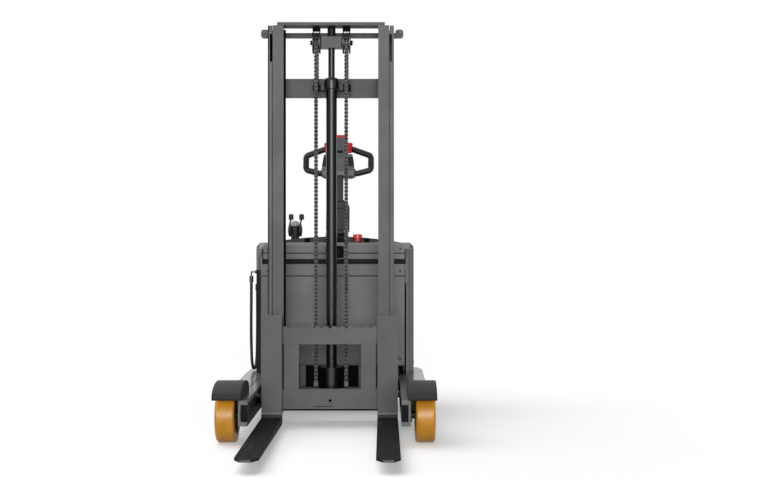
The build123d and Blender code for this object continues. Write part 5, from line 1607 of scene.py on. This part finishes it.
@dataclass
class PolyWheel:
    """A wheel with a cast tyre on a turned iron hub."""

    name: str
    centre: Point
    radius: float
    width: float
    hub: float
    boss: float
    bore: float
    shoulder: float = 0.012
    bolts: int = 5
    bolt: float = 0.005
    bolt_share: float = 0.16
    bolt_inset: float = 0.004
    web_share: float = 0.4
    dish: float = 0.004
    bevel: float = 0.002
    rim_inset: float = 0.003
    wall: Sequence[Pair] = ((0.004, 0), (0.004, 0.004), (0.001, 0.010))
    shoulder_angles: Sequence[float] = (0, 22, 45, 68, 90)
    boss_root: Sequence[Pair] = ((0.004, 0.001), (0, 0.005))
    rim_root: Sequence[Pair] = ((0, -0.016), (0.004, -0.011))
    rim_edge: Sequence[Pair] = ((-0.002, -0.008), (0, -0.006), (0, 0.002))
    tyre_faces: int = 72
    hub_faces: int = 56

    def ring(self, side: Sequence[Pair], count: int) -> Shape:
        """Spins a profile and its mirror image into a closed ring.

        Args:
            side: Profile of the right half, as pairs of X from the middle and radius.
            count: Faces round.

        Returns:
            The ring.
        """
        shape = Shape()
        profile = [(-along, radius) for along, radius in side] + list(side)[::-1]
        shape.turned(profile, Axis.ACROSS, self.centre, count, ring=True)
        return shape

    def tyre(self) -> Shape:
        """Shapes the tyre: flat tread, round shoulders and sidewalls that dish a little.

        Returns:
            The tyre.
        """
        half = self.width / 2
        seat = self.hub + self.bevel
        side = [(half - inset, seat + rise) for inset, rise in self.wall]
        for degrees in self.shoulder_angles:
            angle = math.radians(degrees)
            along = half - self.shoulder + self.shoulder * math.cos(angle)
            side.append((along, self.radius - self.shoulder + self.shoulder * math.sin(angle)))
        return self.ring(side, self.tyre_faces)

    def core(self) -> Shape:
        """Shapes the hub: rim, dished web and a boss bored for the axle.

        Returns:
            The hub.
        """
        half = self.width / 2
        rim = half - self.rim_inset
        web = half * self.web_share
        boss = half - self.dish
        side = [(boss, self.bore), (boss, self.boss - self.bevel), (boss - self.bevel, self.boss)]
        side += [(web + proud, self.boss + beyond) for proud, beyond in self.boss_root]
        side += [(web + proud, self.hub + beyond) for proud, beyond in self.rim_root]
        side += [(rim + proud, self.hub + beyond) for proud, beyond in self.rim_edge]
        return self.ring(side, self.hub_faces)

    def build(self, fasteners: Fasteners) -> None:
        """Builds the tyre, the hub and its ring of bolts.

        Args:
            fasteners: Maker of the bolt heads.
        """
        self.tyre().fit(self.name + "_tyre", AMBER, self.name, Slot.AMBER_TREAD, self.name)
        self.core().fit(self.name + "_hub", IRON, self.name, Slot.CASTING)
        if not self.bolts:
            return
        ring = (self.boss + self.hub) / 2 - self.bolt_inset
        web = self.width / 2 * self.web_share
        angles = [2 * math.pi * index / self.bolts for index in range(self.bolts)]
        places = []
        for side in SIDES:
            for angle in angles:
                reach = Vector((side * web, ring * math.cos(angle), ring * math.sin(angle)))
                places.append((tuple(Vector(self.centre) + reach), (side, 0, 0)))
        size = min(self.bolt, ring * self.bolt_share)
        fasteners.set(self.name + "_bolts", self.name, Head.SOCKET, size, places)


def wheels() -> list[PolyWheel]:
    """Sizes the truck's wheels: two load wheels, two caster wheels and the drive wheel.

    Returns:
        The wheels, not built yet.
    """
    load = {"radius": 0.125, "width": 0.090, "hub": 0.082, "boss": 0.034, "bore": 0.0178}
    caster = {"radius": 0.0625, "width": 0.045, "hub": 0.040, "boss": 0.019, "bore": 0.0082}
    drive = {"radius": 0.115, "width": 0.075, "hub": 0.078, "boss": 0.045, "bore": 0.0202}
    found = []
    for side, name in zip(SIDES, both("load_wheel")):
        found.append(PolyWheel(name, (side * 0.454, -0.3661, 0.125), **load))
    for side, name in zip(SIDES, both("caster_wheel")):
        found.append(PolyWheel(name, (side * 0.280, 0.8239, 0.0625), **caster, shoulder=0.008, bolts=0))
    found.append(PolyWheel("drive_wheel", (0, 0.8289, 0.115), **drive, shoulder=0.010, bolts=6))
    return found


@dataclass
class LegEnds:
    """Rubber stops in the ends of the legs' channels, and flaps that close the gap beside the mast."""

    inner_x: float = 0.3455
    outer_x: float = 0.3755
    low_z: float = 0.117
    high_z: float = 0.193
    end_y: float = -0.5251
    proud: float = 0.005
    sunk: float = 0.004
    stop_soft: float = 0.006
    ribs: int = 4
    rib_step: float = 0.017
    rib_margin: float = 0.006
    rib_proud: float = 0.002
    rib_sunk: float = 0.001
    rib_half: float = 0.0025
    rib_soft: float = 0.0012
    flap_inner_x: float = 0.29
    flap_outer_x: float = 0.3445
    flap_y: float = 0.6939
    flap_low_z: float = 0.088
    flap_high_z: float = 0.245
    flap: float = 0.006
    flap_soft: float = 0.002
    plug: float = 0.024
    plug_lap: float = 0.01
    plug_press: float = 0.0005
    plug_soft: float = 0.004
    screw: float = 0.005
    screw_inset: float = 0.012
    screw_drop: float = 0.014

    def stops(self) -> Shape:
        """Shapes the stops in the ends of both channels.

        Returns:
            Both stops.
        """
        shape = Shape()
        low = (self.inner_x, self.end_y - self.proud, self.low_z)
        high = (self.outer_x, self.end_y + self.sunk, self.high_z)
        shape.twins(low, high, self.stop_soft)
        return shape

    def flaps(self) -> Shape:
        """Shapes the flaps, each with a plug in the channel beside it.

        Returns:
            Both flaps and plugs.
        """
        shape = Shape()
        low = (self.flap_inner_x, self.flap_y - self.flap, self.flap_low_z)
        high = (self.flap_outer_x, self.flap_y, self.flap_high_z)
        shape.twins(low, high, self.flap_soft)
        low = (self.flap_outer_x - self.plug_lap, self.flap_y - self.plug, self.low_z - self.plug_press)
        high = (self.outer_x, self.flap_y, self.high_z + self.plug_press)
        shape.twins(low, high, self.plug_soft)
        return shape

    def stop_ribs(self, rows: Rows) -> bpy.types.Object:
        """Lays the ribs on the faces of the stops.

        Args:
            rows: Maker of the rows.

        Returns:
            All ribs as one piece.
        """
        rib = Shape()
        half = (self.outer_x - self.inner_x) / 2 - self.rib_margin
        rib.block(
            (-half, -self.rib_proud, -self.rib_half), (half, self.rib_sunk, self.rib_half), self.rib_soft
        )
        middle = (self.inner_x + self.outer_x) / 2
        first = (self.low_z + self.high_z) / 2 - self.rib_step * (self.ribs - 1) / 2
        starts = [(side * middle, self.end_y - self.proud, first) for side in SIDES]
        return rows.lay("leg_stop_ribs", rib, SOFT_BLACK, starts, self.ribs, self.rib_step)

    def build(self, fasteners: Fasteners, rows: Rows) -> None:
        """Builds the stops with their ribs, the flaps and the flaps' screws.

        Args:
            fasteners: Maker of the screw heads.
            rows: Maker of the ribs.
        """
        self.stops().fit("leg_end_stops", SOFT_BLACK, "chassis", Slot.BLACK_PLASTIC)
        self.flaps().fit("gap_flaps", SOFT_BLACK, "chassis", Slot.BLACK_PLASTIC)
        carry(self.stop_ribs(rows), "chassis", Slot.BLACK_PLASTIC)
        face = self.flap_y - self.flap
        level = self.flap_high_z - self.screw_drop
        reaches = (self.flap_inner_x + self.screw_inset, self.flap_outer_x - self.screw_inset)
        screws = [((side * x, face, level), FORWARD) for side in SIDES for x in reaches]
        fasteners.set("flap_screws", "chassis", Head.DOME, self.screw, screws, DARK_STEEL)


@dataclass
class BodyTrim:
    """Black strips and a black line of painted shade in the slots and on the left corner, screws and the
    hood's latch on the front of the body.
    """

    front_y: float = 0.4389
    slot_inner_x: float = 0.3742
    slot_outer_x: float = 0.3835
    slot_low_z: float = 0.215
    slot_high_z: float = 0.829
    # Black strips behind the slots, which stand for the shade in them: painted shade.
    shade_strip_front: float = 0.0039
    shade_strip_back: float = 0.014
    shade_strip_soft: float = 0.001
    corner_x: float = 0.382
    corner_way: Pair = (0.3162, 0.9487)
    # A black line along the left corner's edge: painted shade.
    trim_radius: float = 0.0022
    shade_line_faces: int = 8
    shade_line_start: Pair = (-0.374, 0.876)
    shade_line_route: Sequence[Pair] = ((0.0, 0.866), (0.06, 0.834), (0.06, 0.770))
    fillers: Sequence[Box] = (
        Box((-0.3818, 0.4391, 0.2635), (-0.3752, 0.4431, 0.8019), 0.0005),
        Box((0.3768, 0.4391, 0.702), (0.3818, 0.4431, 0.8019), 0.0005),
    )
    latch_plate: Box = Box((-0.041, 0.468, 0.838), (0.049, 0.4795, 0.894), 0.003)
    latch_lugs: Sequence[Box] = (
        Box((-0.033, 0.447, 0.852), (-0.027, 0.470, 0.884), 0.002),
        Box((0.035, 0.447, 0.852), (0.041, 0.470, 0.884), 0.002),
    )
    latch_bar: Sequence[Point] = ((-0.029, 0.4525, 0.876), (0.037, 0.4525, 0.876))
    latch_bar_radius: float = 0.0042
    latch_paddle: Box = Box((-0.026, 0.4475, 0.846), (0.034, 0.4525, 0.877), 0.002)
    stop_place: Point = (0.124, 0.5089, 0.916)
    collar_profile: Sequence[Pair] = (
        (-0.001, 0.0158), (-0.001, 0.0235), (0.003, 0.0235), (0.006, 0.0205), (0.006, 0.0158),
    )
    collar_faces: int = 40
    apron_rib: Box = Box((-0.062, -0.003, -0.0031), (0.062, 0.004, 0.0031), 0.0016)
    apron_place: Point = (0.006, 0.5985, 0.919)
    apron_ribs: int = 5
    apron_step: float = 0.0061
    screw: float = 0.0058
    screw_x: float = 0.352
    screw_levels: Sequence[float] = (0.882, 0.765, 0.30)
    corner_screw: float = 0.0042
    corner_screws: Sequence[tuple[int, float, float]] = (
        (1, 0.05, 0.546), (1, 0.05, 0.527), (-1, 0.055, 0.764), (-1, 0.055, 0.742),
    )

    def on_corner(self, side: int, run: float, z: float) -> Point:
        """Gives a point on a slanted corner panel.

        Args:
            side: Side of the truck.
            run: Distance from the panel's front edge.
            z: Height.

        Returns:
            The point.
        """
        across, along = self.corner_way
        return (side * (self.corner_x + across * run), self.front_y + along * run, z)

    def shade_in_slots(self) -> Shape:
        """Shapes the black strips behind the two slots and the black line on the left corner, both painted
        shade.

        Returns:
            The strips and the line.
        """
        shape = Shape()
        low = (self.slot_inner_x, self.front_y + self.shade_strip_front, self.slot_low_z)
        high = (self.slot_outer_x, self.front_y + self.shade_strip_back, self.slot_high_z)
        shape.twins(low, high, self.shade_strip_soft)
        x, z = self.shade_line_start
        line = [Vector((x, self.front_y, z))]
        line += [Vector(self.on_corner(-1, run, level)) for run, level in self.shade_line_route]
        shape.tube(line, self.trim_radius, self.shade_line_faces)
        return shape

    def slot_fillers(self) -> Shape:
        """Shapes the strips that fill the slots flush where they are closed.

        Returns:
            The strips.
        """
        shape = Shape()
        shape.boxes(*self.fillers)
        return shape

    def latch(self) -> Shape:
        """Shapes the latch: a back plate, two lugs, a pivot bar and the paddle.

        Returns:
            The latch.
        """
        shape = Shape()
        shape.boxes(self.latch_plate, *self.latch_lugs)
        shape.tube([Vector(point) for point in self.latch_bar], self.latch_bar_radius)
        shape.boxes(self.latch_paddle)
        return shape

    def collar(self) -> Shape:
        """Shapes the collar round the stop button's stem.

        Returns:
            The collar.
        """
        shape = Shape()
        shape.turned(self.collar_profile, Axis.UP, self.stop_place, self.collar_faces, ring=True)
        return shape

    def apron(self, rows: Rows) -> bpy.types.Object:
        """Lays the ribbed rubber apron in front of the steering column, on the step of the hood.

        Args:
            rows: Maker of the ribs.

        Returns:
            The apron.
        """
        rib = Shape()
        rib.boxes(self.apron_rib)
        return rows.lay(
            "column_apron", rib, SOFT_BLACK, [self.apron_place], self.apron_ribs, self.apron_step
        )

    def build(self, fasteners: Fasteners, rows: Rows) -> None:
        """Builds the strips and line of painted shade, the fillers, latch, collar, apron and screws.

        Args:
            fasteners: Maker of the screw heads.
            rows: Maker of the apron's ribs.
        """
        # Black strips and line that stand for the shade in the slots and along the left corner: painted
        # shade.
        self.shade_in_slots().fit("body_seals", SOFT_BLACK, "chassis", Slot.BLACK_PLASTIC)
        self.slot_fillers().fit("slot_fillers", PANEL_GREY, "chassis", Slot.GREY_PAINT)
        self.latch().fit("hood_latch", SOFT_BLACK, "chassis", Slot.BLACK_PLASTIC)
        self.collar().fit("stop_collar", BLACK, "chassis", Slot.BLACK_PLASTIC)
        carry(self.apron(rows), "chassis", Slot.BLACK_PLASTIC)
        screws = [
            ((side * self.screw_x, self.front_y, z), FORWARD) for side in SIDES for z in self.screw_levels
        ]
        fasteners.set("panel_screws", "chassis", Head.DOME, self.screw, screws, DARK_STEEL)
        across, along = self.corner_way
        small = [
            (self.on_corner(side, run, z), (side * along, -across, 0)) for side, run, z in self.corner_screws
        ]
        fasteners.set("corner_screws", "chassis", Head.DOME, self.corner_screw, small, DARK_STEEL)


@dataclass
class MastHardware:
    """The mast's black strips of painted shade in the gaps between the rails, reach-plate bolts, ear studs
    and the split pins on the sheave axle.
    """

    plate_x: float = 0.334
    levels: Sequence[float] = (0.239, 0.280, 0.340, 0.452)
    edge_foot: Pair = (0.0539, 0.193)
    edge_rise: float = 0.04 / 0.292
    inset: float = 0.016
    bolt: float = 0.0105
    ear_x: float = 0.351
    ear_y: float = 0.2339
    ear_z: float = 1.996
    stud: float = 0.0075
    axle_x: float = 0.105
    axle_y: float = 0.1642
    axle_z: float = 1.929
    washer: Sequence[Pair] = ((-0.001, 0), (-0.001, 0.011), (0.0018, 0.011), (0.0018, 0))
    washer_faces: int = 24
    pin_root: Point = (-0.002, -0.011, 0.005)
    pin_tip: Point = (0.0058, -0.013, 0.0075)
    pin_radius: float = 0.0017
    pin_faces: int = 8
    # Black strips seen through the gaps between the outer and inner rails: painted shade.
    strip_inner_x: float = 0.2924
    strip_outer_x: float = 0.2942
    strip_y: float = 0.2212
    strip_depth: float = 0.01
    strip_low_z: float = 0.1
    strip_high_z: float = 2.0
    strip_soft: float = 0.0004

    def pins(self) -> Shape:
        """Shapes the washers and split pins at the ends of the sheave axle.

        Returns:
            The washers and pins.
        """
        shape = Shape()
        for side in SIDES:
            end = Vector((side * self.axle_x, self.axle_y, self.axle_z))
            washer = [(side * along, radius) for along, radius in self.washer]
            shape.turned(washer, Axis.ACROSS, end, self.washer_faces)
            for rise in SIDES:
                leg = [end + Vector((side * x, y, rise * z)) for x, y, z in (self.pin_root, self.pin_tip)]
                shape.tube(leg, self.pin_radius, self.pin_faces)
        return shape

    def strips(self) -> Shape:
        """Shapes the black strips on the outer rails, painted shade in the gaps between the outer and inner
        rails.

        Returns:
            Both strips.
        """
        shape = Shape()
        low = (self.strip_inner_x, self.strip_y, self.strip_low_z)
        high = (self.strip_outer_x, self.strip_y + self.strip_depth, self.strip_high_z)
        shape.twins(low, high, self.strip_soft)
        return shape

    def build(self, fasteners: Fasteners) -> None:
        """Builds the pins and strips and sets the bolts and studs.

        Args:
            fasteners: Maker of the heads.
        """
        self.pins().fit("axle_split_pins", DARK_STEEL, "mast_inner", Slot.BARE_STEEL)
        # Black strips seen through the gaps between the rails: painted shade.
        self.strips().fit("mast_wear_strips", SOFT_BLACK, "mast_outer", Slot.BLACK_PLASTIC)
        foot_y, foot_z = self.edge_foot
        bolts = []
        for side in SIDES:
            for z in self.levels:
                y = foot_y + self.edge_rise * (z - foot_z) + self.inset
                bolts.append(((side * self.plate_x, y, z), (side, 0, 0)))
        fasteners.set("reach_plate_bolts", "mast_outer", Head.HEX, self.bolt, bolts, DARK_STEEL)
        studs = [((side * self.ear_x, self.ear_y, self.ear_z), FORWARD) for side in SIDES]
        fasteners.set("mast_ear_studs", "mast_outer", Head.SOCKET, self.stud, studs, DARK_STEEL)


@dataclass
class ColumnBoot:
    """The ribbed rubber boot round the steering yoke."""

    half: float = 0.060
    front_y: float = 0.7945
    back_y: float = 0.912
    low_z: float = 0.9015
    foot: float = 0.002
    top_z: float = 0.969
    soft: float = 0.007
    middle_y: float = 0.8289
    flange: Sequence[Pair] = ((0, 0), (0, 0.071), (0.0033, 0.071), (0.0055, 0.068), (0.0055, 0))
    flange_faces: int = 48
    rib: float = 0.004
    rib_half: float = 0.0032
    rib_soft: float = 0.0028
    rib_curve: int = 3
    ribs: int = 6
    rib_step: float = 0.0105

    def build(self, rows: Rows) -> None:
        """Builds the boot's flange and body, and its ribs as one row.

        Args:
            rows: Maker of the ribs.
        """
        shape = Shape()
        shape.turned(self.flange, Axis.UP, (0, self.middle_y, self.low_z), self.flange_faces)
        low = (-self.half, self.front_y, self.low_z + self.foot)
        shape.block(low, (self.half, self.back_y, self.top_z), self.soft)
        shape.fit("column_boot", SOFT_BLACK, "drive_turret", Slot.BLACK_PLASTIC)
        rib = Shape()
        high = (self.half + self.rib, (self.back_y - self.front_y) / 2 + self.rib, self.rib_half)
        rib.block(tuple(-reach for reach in high), high, self.rib_soft, steps=self.rib_curve)
        start = (0, (self.front_y + self.back_y) / 2, self.low_z + self.rib_step)
        ribs = rows.lay("column_boot_ribs", rib, SOFT_BLACK, [start], self.ribs, self.rib_step)
        carry(ribs, "drive_turret", Slot.BLACK_PLASTIC)


@dataclass
class TillerControls:
    """Display, buttons, grip collars and cover screws on the tiller, in the tiller's own frame."""

    pivot: Point = (0, 0.9439, 0.955)
    lean: float = math.radians(13.5)
    bezel: Box = Box((-0.052, 0.392, -0.042), (0.052, 0.462, -0.038), 0.0018)
    glass: Box = Box((-0.044, 0.400, -0.0432), (0.044, 0.454, -0.040), 0.0012)
    buttons: Sequence[Box] = (
        Box((-0.043, 0.366, -0.0435), (-0.025, 0.380, -0.038), 0.003),
        Box((-0.009, 0.366, -0.0435), (0.009, 0.380, -0.038), 0.003),
        Box((0.025, 0.366, -0.0435), (0.043, 0.380, -0.038), 0.003),
    )
    collar_roots: Sequence[Pair] = ((0.0955, 0.378), (0.044, 0.533))
    collar_sunk: float = 0.0015
    collar_proud: float = 0.0045
    collar: float = 0.0215
    collar_soft: float = 0.002
    set_back: float = -0.016
    cover_face: float = 0.035
    screw: float = 0.0045
    screw_x: float = 0.052
    screw_runs: Sequence[float] = (0.044, 0.150)

    def place(self) -> Matrix:
        """Gives the tiller's own frame: across, along the arm and towards the forks.

        Returns:
            The frame's place in the truck's frame.
        """
        sine, cosine = math.sin(self.lean), math.cos(self.lean)
        turn = Matrix(((1, 0, 0, 0), (0, sine, -cosine, 0), (0, cosine, sine, 0), (0, 0, 0, 1)))
        return Matrix.Translation(self.pivot) @ turn

    def build(self, fasteners: Fasteners) -> None:
        """Builds the display with its bezel, the buttons, the collars and the screws.

        Args:
            fasteners: Maker of the screw heads.
        """
        place = self.place()
        trim = Shape()
        trim.boxes(self.bezel, *self.buttons, place=place)
        for edge, root in self.collar_roots:
            low = (edge - self.collar_sunk, root - self.collar, self.set_back - self.collar)
            high = (edge + self.collar_proud, root + self.collar, self.set_back + self.collar)
            trim.twins(low, high, self.collar_soft, place)
        trim.fit("tiller_trim", GRIP, "tiller", Slot.BLACK_PLASTIC)
        glass = Shape()
        glass.boxes(self.glass, place=place)
        glass.fit("tiller_display", DISPLAY, "tiller", Slot.BLACK_PLASTIC)
        facing = place.to_3x3() @ Vector((0, 0, 1))
        screws = []
        for run in self.screw_runs:
            for side in SIDES:
                for way in (1, -1):
                    spot = place @ Vector((side * self.screw_x, run, way * self.cover_face))
                    screws.append((tuple(spot), tuple(way * facing)))
        fasteners.set("tiller_cover_screws", "tiller", Head.DOME, self.screw, screws, DARK_STEEL)


@dataclass
class RearDetails:
    """Service cover with louvres, rubbing strip, key switch and charge gauge on the rear of the body."""

    back_y: float = 1.0189
    half: float = 0.427
    corner: float = 0.09
    corner_step: int = 9
    cover_half: float = 0.29
    cover_low: float = 0.30
    cover_high: float = 0.72
    cover: float = 0.003
    cover_sunk: float = 0.001
    cover_soft: float = 0.0016
    louvre: float = 0.2
    louvre_x: float = 0.13
    louvre_outline: Sequence[Pair] = (
        (-0.001, 0.022), (-0.001, 0.001), (0.0075, -0.003), (0.0085, 0.002), (0.005, 0.014),
    )
    louvre_soft: float = 0.0012
    louvres: int = 8
    louvre_step: float = 0.032
    # Black blocks under the louvres: painted shade in their openings.
    gap_margin: float = 0.004
    gap_low: Pair = (-0.001, -0.006)
    gap_high: Pair = (0.0006, 0.002)
    gap_soft: float = 0.0003
    screw: float = 0.006
    screw_inset: float = 0.018
    strip_z: float = 0.246
    strip_radius: float = 0.007
    strip_start: float = 0.752
    switch_place: Point = (-0.29, 0.885, 0.9)
    switch: Sequence[Pair] = (
        (-0.001, 0), (-0.001, 0.017), (0.004, 0.017), (0.007, 0.014),
        (0.007, 0.006), (0.0045, 0.0055), (0.0045, 0),
    )
    switch_faces: int = 36
    key: Box = Box((-0.0012, -0.011, 0.004), (0.0012, 0.011, 0.0155), 0.0008)
    gauge_place: Point = (0.29, 0.885, 0.9)
    gauge: Sequence[Pair] = (
        (-0.001, 0), (-0.001, 0.031), (0.004, 0.031), (0.0065, 0.028),
        (0.0065, 0.025), (0.003, 0.0245), (0.003, 0),
    )
    gauge_faces: int = 44
    gauge_glass: Sequence[Pair] = (
        (0.002, 0), (0.002, 0.0246), (0.0048, 0.0243), (0.0055, 0.012), (0.0057, 0),
    )
    glass_faces: int = 36

    def strip(self) -> Shape:
        """Shapes the rubber strip round the foot of the cover.

        Returns:
            The strip.
        """
        inner = self.half - self.corner
        path = [(-self.half, self.strip_start)]
        for side, first in zip(SIDES, (180, 90)):
            for turn in range(0, 91, self.corner_step):
                angle = math.radians(first - turn)
                x = side * inner + self.corner * math.cos(angle)
                path.append((x, self.back_y - self.corner + self.corner * math.sin(angle)))
        path.append((self.half, self.strip_start))
        shape = Shape()
        shape.tube([Vector((x, y, self.strip_z)) for x, y in path], self.strip_radius)
        return shape

    def service_cover(self) -> Shape:
        """Shapes the cover's plate.

        Returns:
            The plate.
        """
        shape = Shape()
        low = (-self.cover_half, self.back_y - self.cover_sunk, self.cover_low)
        shape.block(low, (self.cover_half, self.back_y + self.cover, self.cover_high), self.cover_soft)
        return shape

    def lay_louvres(self, rows: Rows) -> None:
        """Lays two rows of louvres on the cover, and black blocks under them that are painted shade in their
        openings.

        Args:
            rows: Maker of the rows.
        """
        half = self.louvre / 2
        hood = Shape()
        hood.prism(self.louvre_outline, -half, half, FLANK, self.louvre_soft)
        gap = Shape()
        reach = half - self.gap_margin
        gap.block((-reach, *self.gap_low), (reach, *self.gap_high), self.gap_soft)
        low = (self.cover_low + self.cover_high) / 2 - self.louvre_step * (self.louvres - 1) / 2
        starts = [(side * self.louvre_x, self.back_y + self.cover, low) for side in SIDES]
        hoods = rows.lay("rear_louvres", hood, GREY, starts, self.louvres, self.louvre_step)
        carry(hoods, "chassis", Slot.GREY_PAINT)
        # Black blocks under the louvres: painted shade in their openings.
        gaps = rows.lay("rear_louvre_gaps", gap, SOFT_BLACK, starts, self.louvres, self.louvre_step)
        carry(gaps, "chassis", Slot.BLACK_PLASTIC)

    def cover_screws(self) -> list[tuple[Point, Point]]:
        """Lists where the cover's screws sit.

        Returns:
            Pairs of a point and the way that it faces.
        """
        face = self.back_y + self.cover
        edge = self.cover_half - self.screw_inset
        levels = (self.cover_low + self.screw_inset, self.cover_high - self.screw_inset)
        spots = [(side * x, z) for side in SIDES for x in (edge, edge / 3) for z in levels]
        spots += [(side * edge, (self.cover_low + self.cover_high) / 2) for side in SIDES]
        return [((x, face, z), BACKWARD) for x, z in spots]

    def housings(self) -> Shape:
        """Shapes the switch with its key, and the gauge's housing.

        Returns:
            Both housings.
        """
        shape = Shape()
        shape.turned(self.switch, Axis.UP, self.switch_place, self.switch_faces)
        shape.boxes(self.key, place=Matrix.Translation(self.switch_place))
        shape.turned(self.gauge, Axis.UP, self.gauge_place, self.gauge_faces)
        return shape

    def build(self, fasteners: Fasteners, rows: Rows) -> None:
        """Builds the cover, its louvres and screws, the strip and the switches.

        Args:
            fasteners: Maker of the screw heads.
            rows: Maker of the louvres.
        """
        self.service_cover().fit("service_cover", GREY, "chassis", Slot.GREY_PAINT)
        self.lay_louvres(rows)
        screws = self.cover_screws()
        fasteners.set("service_cover_screws", "chassis", Head.DOME, self.screw, screws, DARK_STEEL)
        self.strip().fit("rear_rubbing_strip", SOFT_BLACK, "chassis", Slot.BLACK_PLASTIC)
        self.housings().fit("key_switch_and_gauge", BLACK, "chassis", Slot.BLACK_PLASTIC)
        glass = Shape()
        glass.turned(self.gauge_glass, Axis.UP, self.gauge_place, self.glass_faces)
        glass.fit("charge_gauge_glass", DISPLAY, "chassis", Slot.BLACK_PLASTIC)


@dataclass
class WheelHardware:
    """Hub caps on the load wheels and nuts on the casters' axles."""

    hub_x: float = 0.454
    hub_y: float = -0.3661
    hub_z: float = 0.125
    cap: Sequence[Pair] = (
        (0.040, 0), (0.040, 0.027), (0.0425, 0.027), (0.0438, 0.024), (0.0446, 0.012), (0.0448, 0),
    )
    cap_faces: int = 36
    caster_y: float = 0.8239
    caster_z: float = 0.0625
    cheeks: Pair = (0.2495, 0.3105)
    nut: float = 0.011

    def build(self, fasteners: Fasteners) -> None:
        """Builds the caps and sets the nuts.

        Args:
            fasteners: Maker of the nuts.
        """
        for side, wheel, caster in zip(SIDES, both("load_wheel"), both("caster")):
            cap = Shape()
            profile = [(side * along, radius) for along, radius in self.cap]
            cap.turned(profile, Axis.ACROSS, (side * self.hub_x, self.hub_y, self.hub_z), self.cap_faces)
            cap.fit(wheel + "_cap", ZINC, wheel, Slot.BARE_STEEL)
            nuts = [
                ((side * x, self.caster_y, self.caster_z), (way * side, 0, 0))
                for x, way in zip(self.cheeks, SIDES)
            ]
            fasteners.set(caster + "_nuts", caster, Head.HEX, self.nut, nuts)


def main() -> None:
    """Builds the studio, dresses the solids and adds the detailed pieces."""
    logging.basicConfig(level=logging.INFO, format="%(name)s: %(message)s")
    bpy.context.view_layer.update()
    Studio().build()
    dress_nodes()
    HoseLoop().build()
    LiftChains().build()
    fasteners = Fasteners()
    for wheel in wheels():
        wheel.build(fasteners)
    rows = Rows()
    LegEnds().build(fasteners, rows)
    BodyTrim().build(fasteners, rows)
    MastHardware().build(fasteners)
    ColumnBoot().build(rows)
    TillerControls().build(fasteners)
    RearDetails().build(fasteners, rows)
    WheelHardware().build(fasteners)


if __name__ == "__main__":
    main()
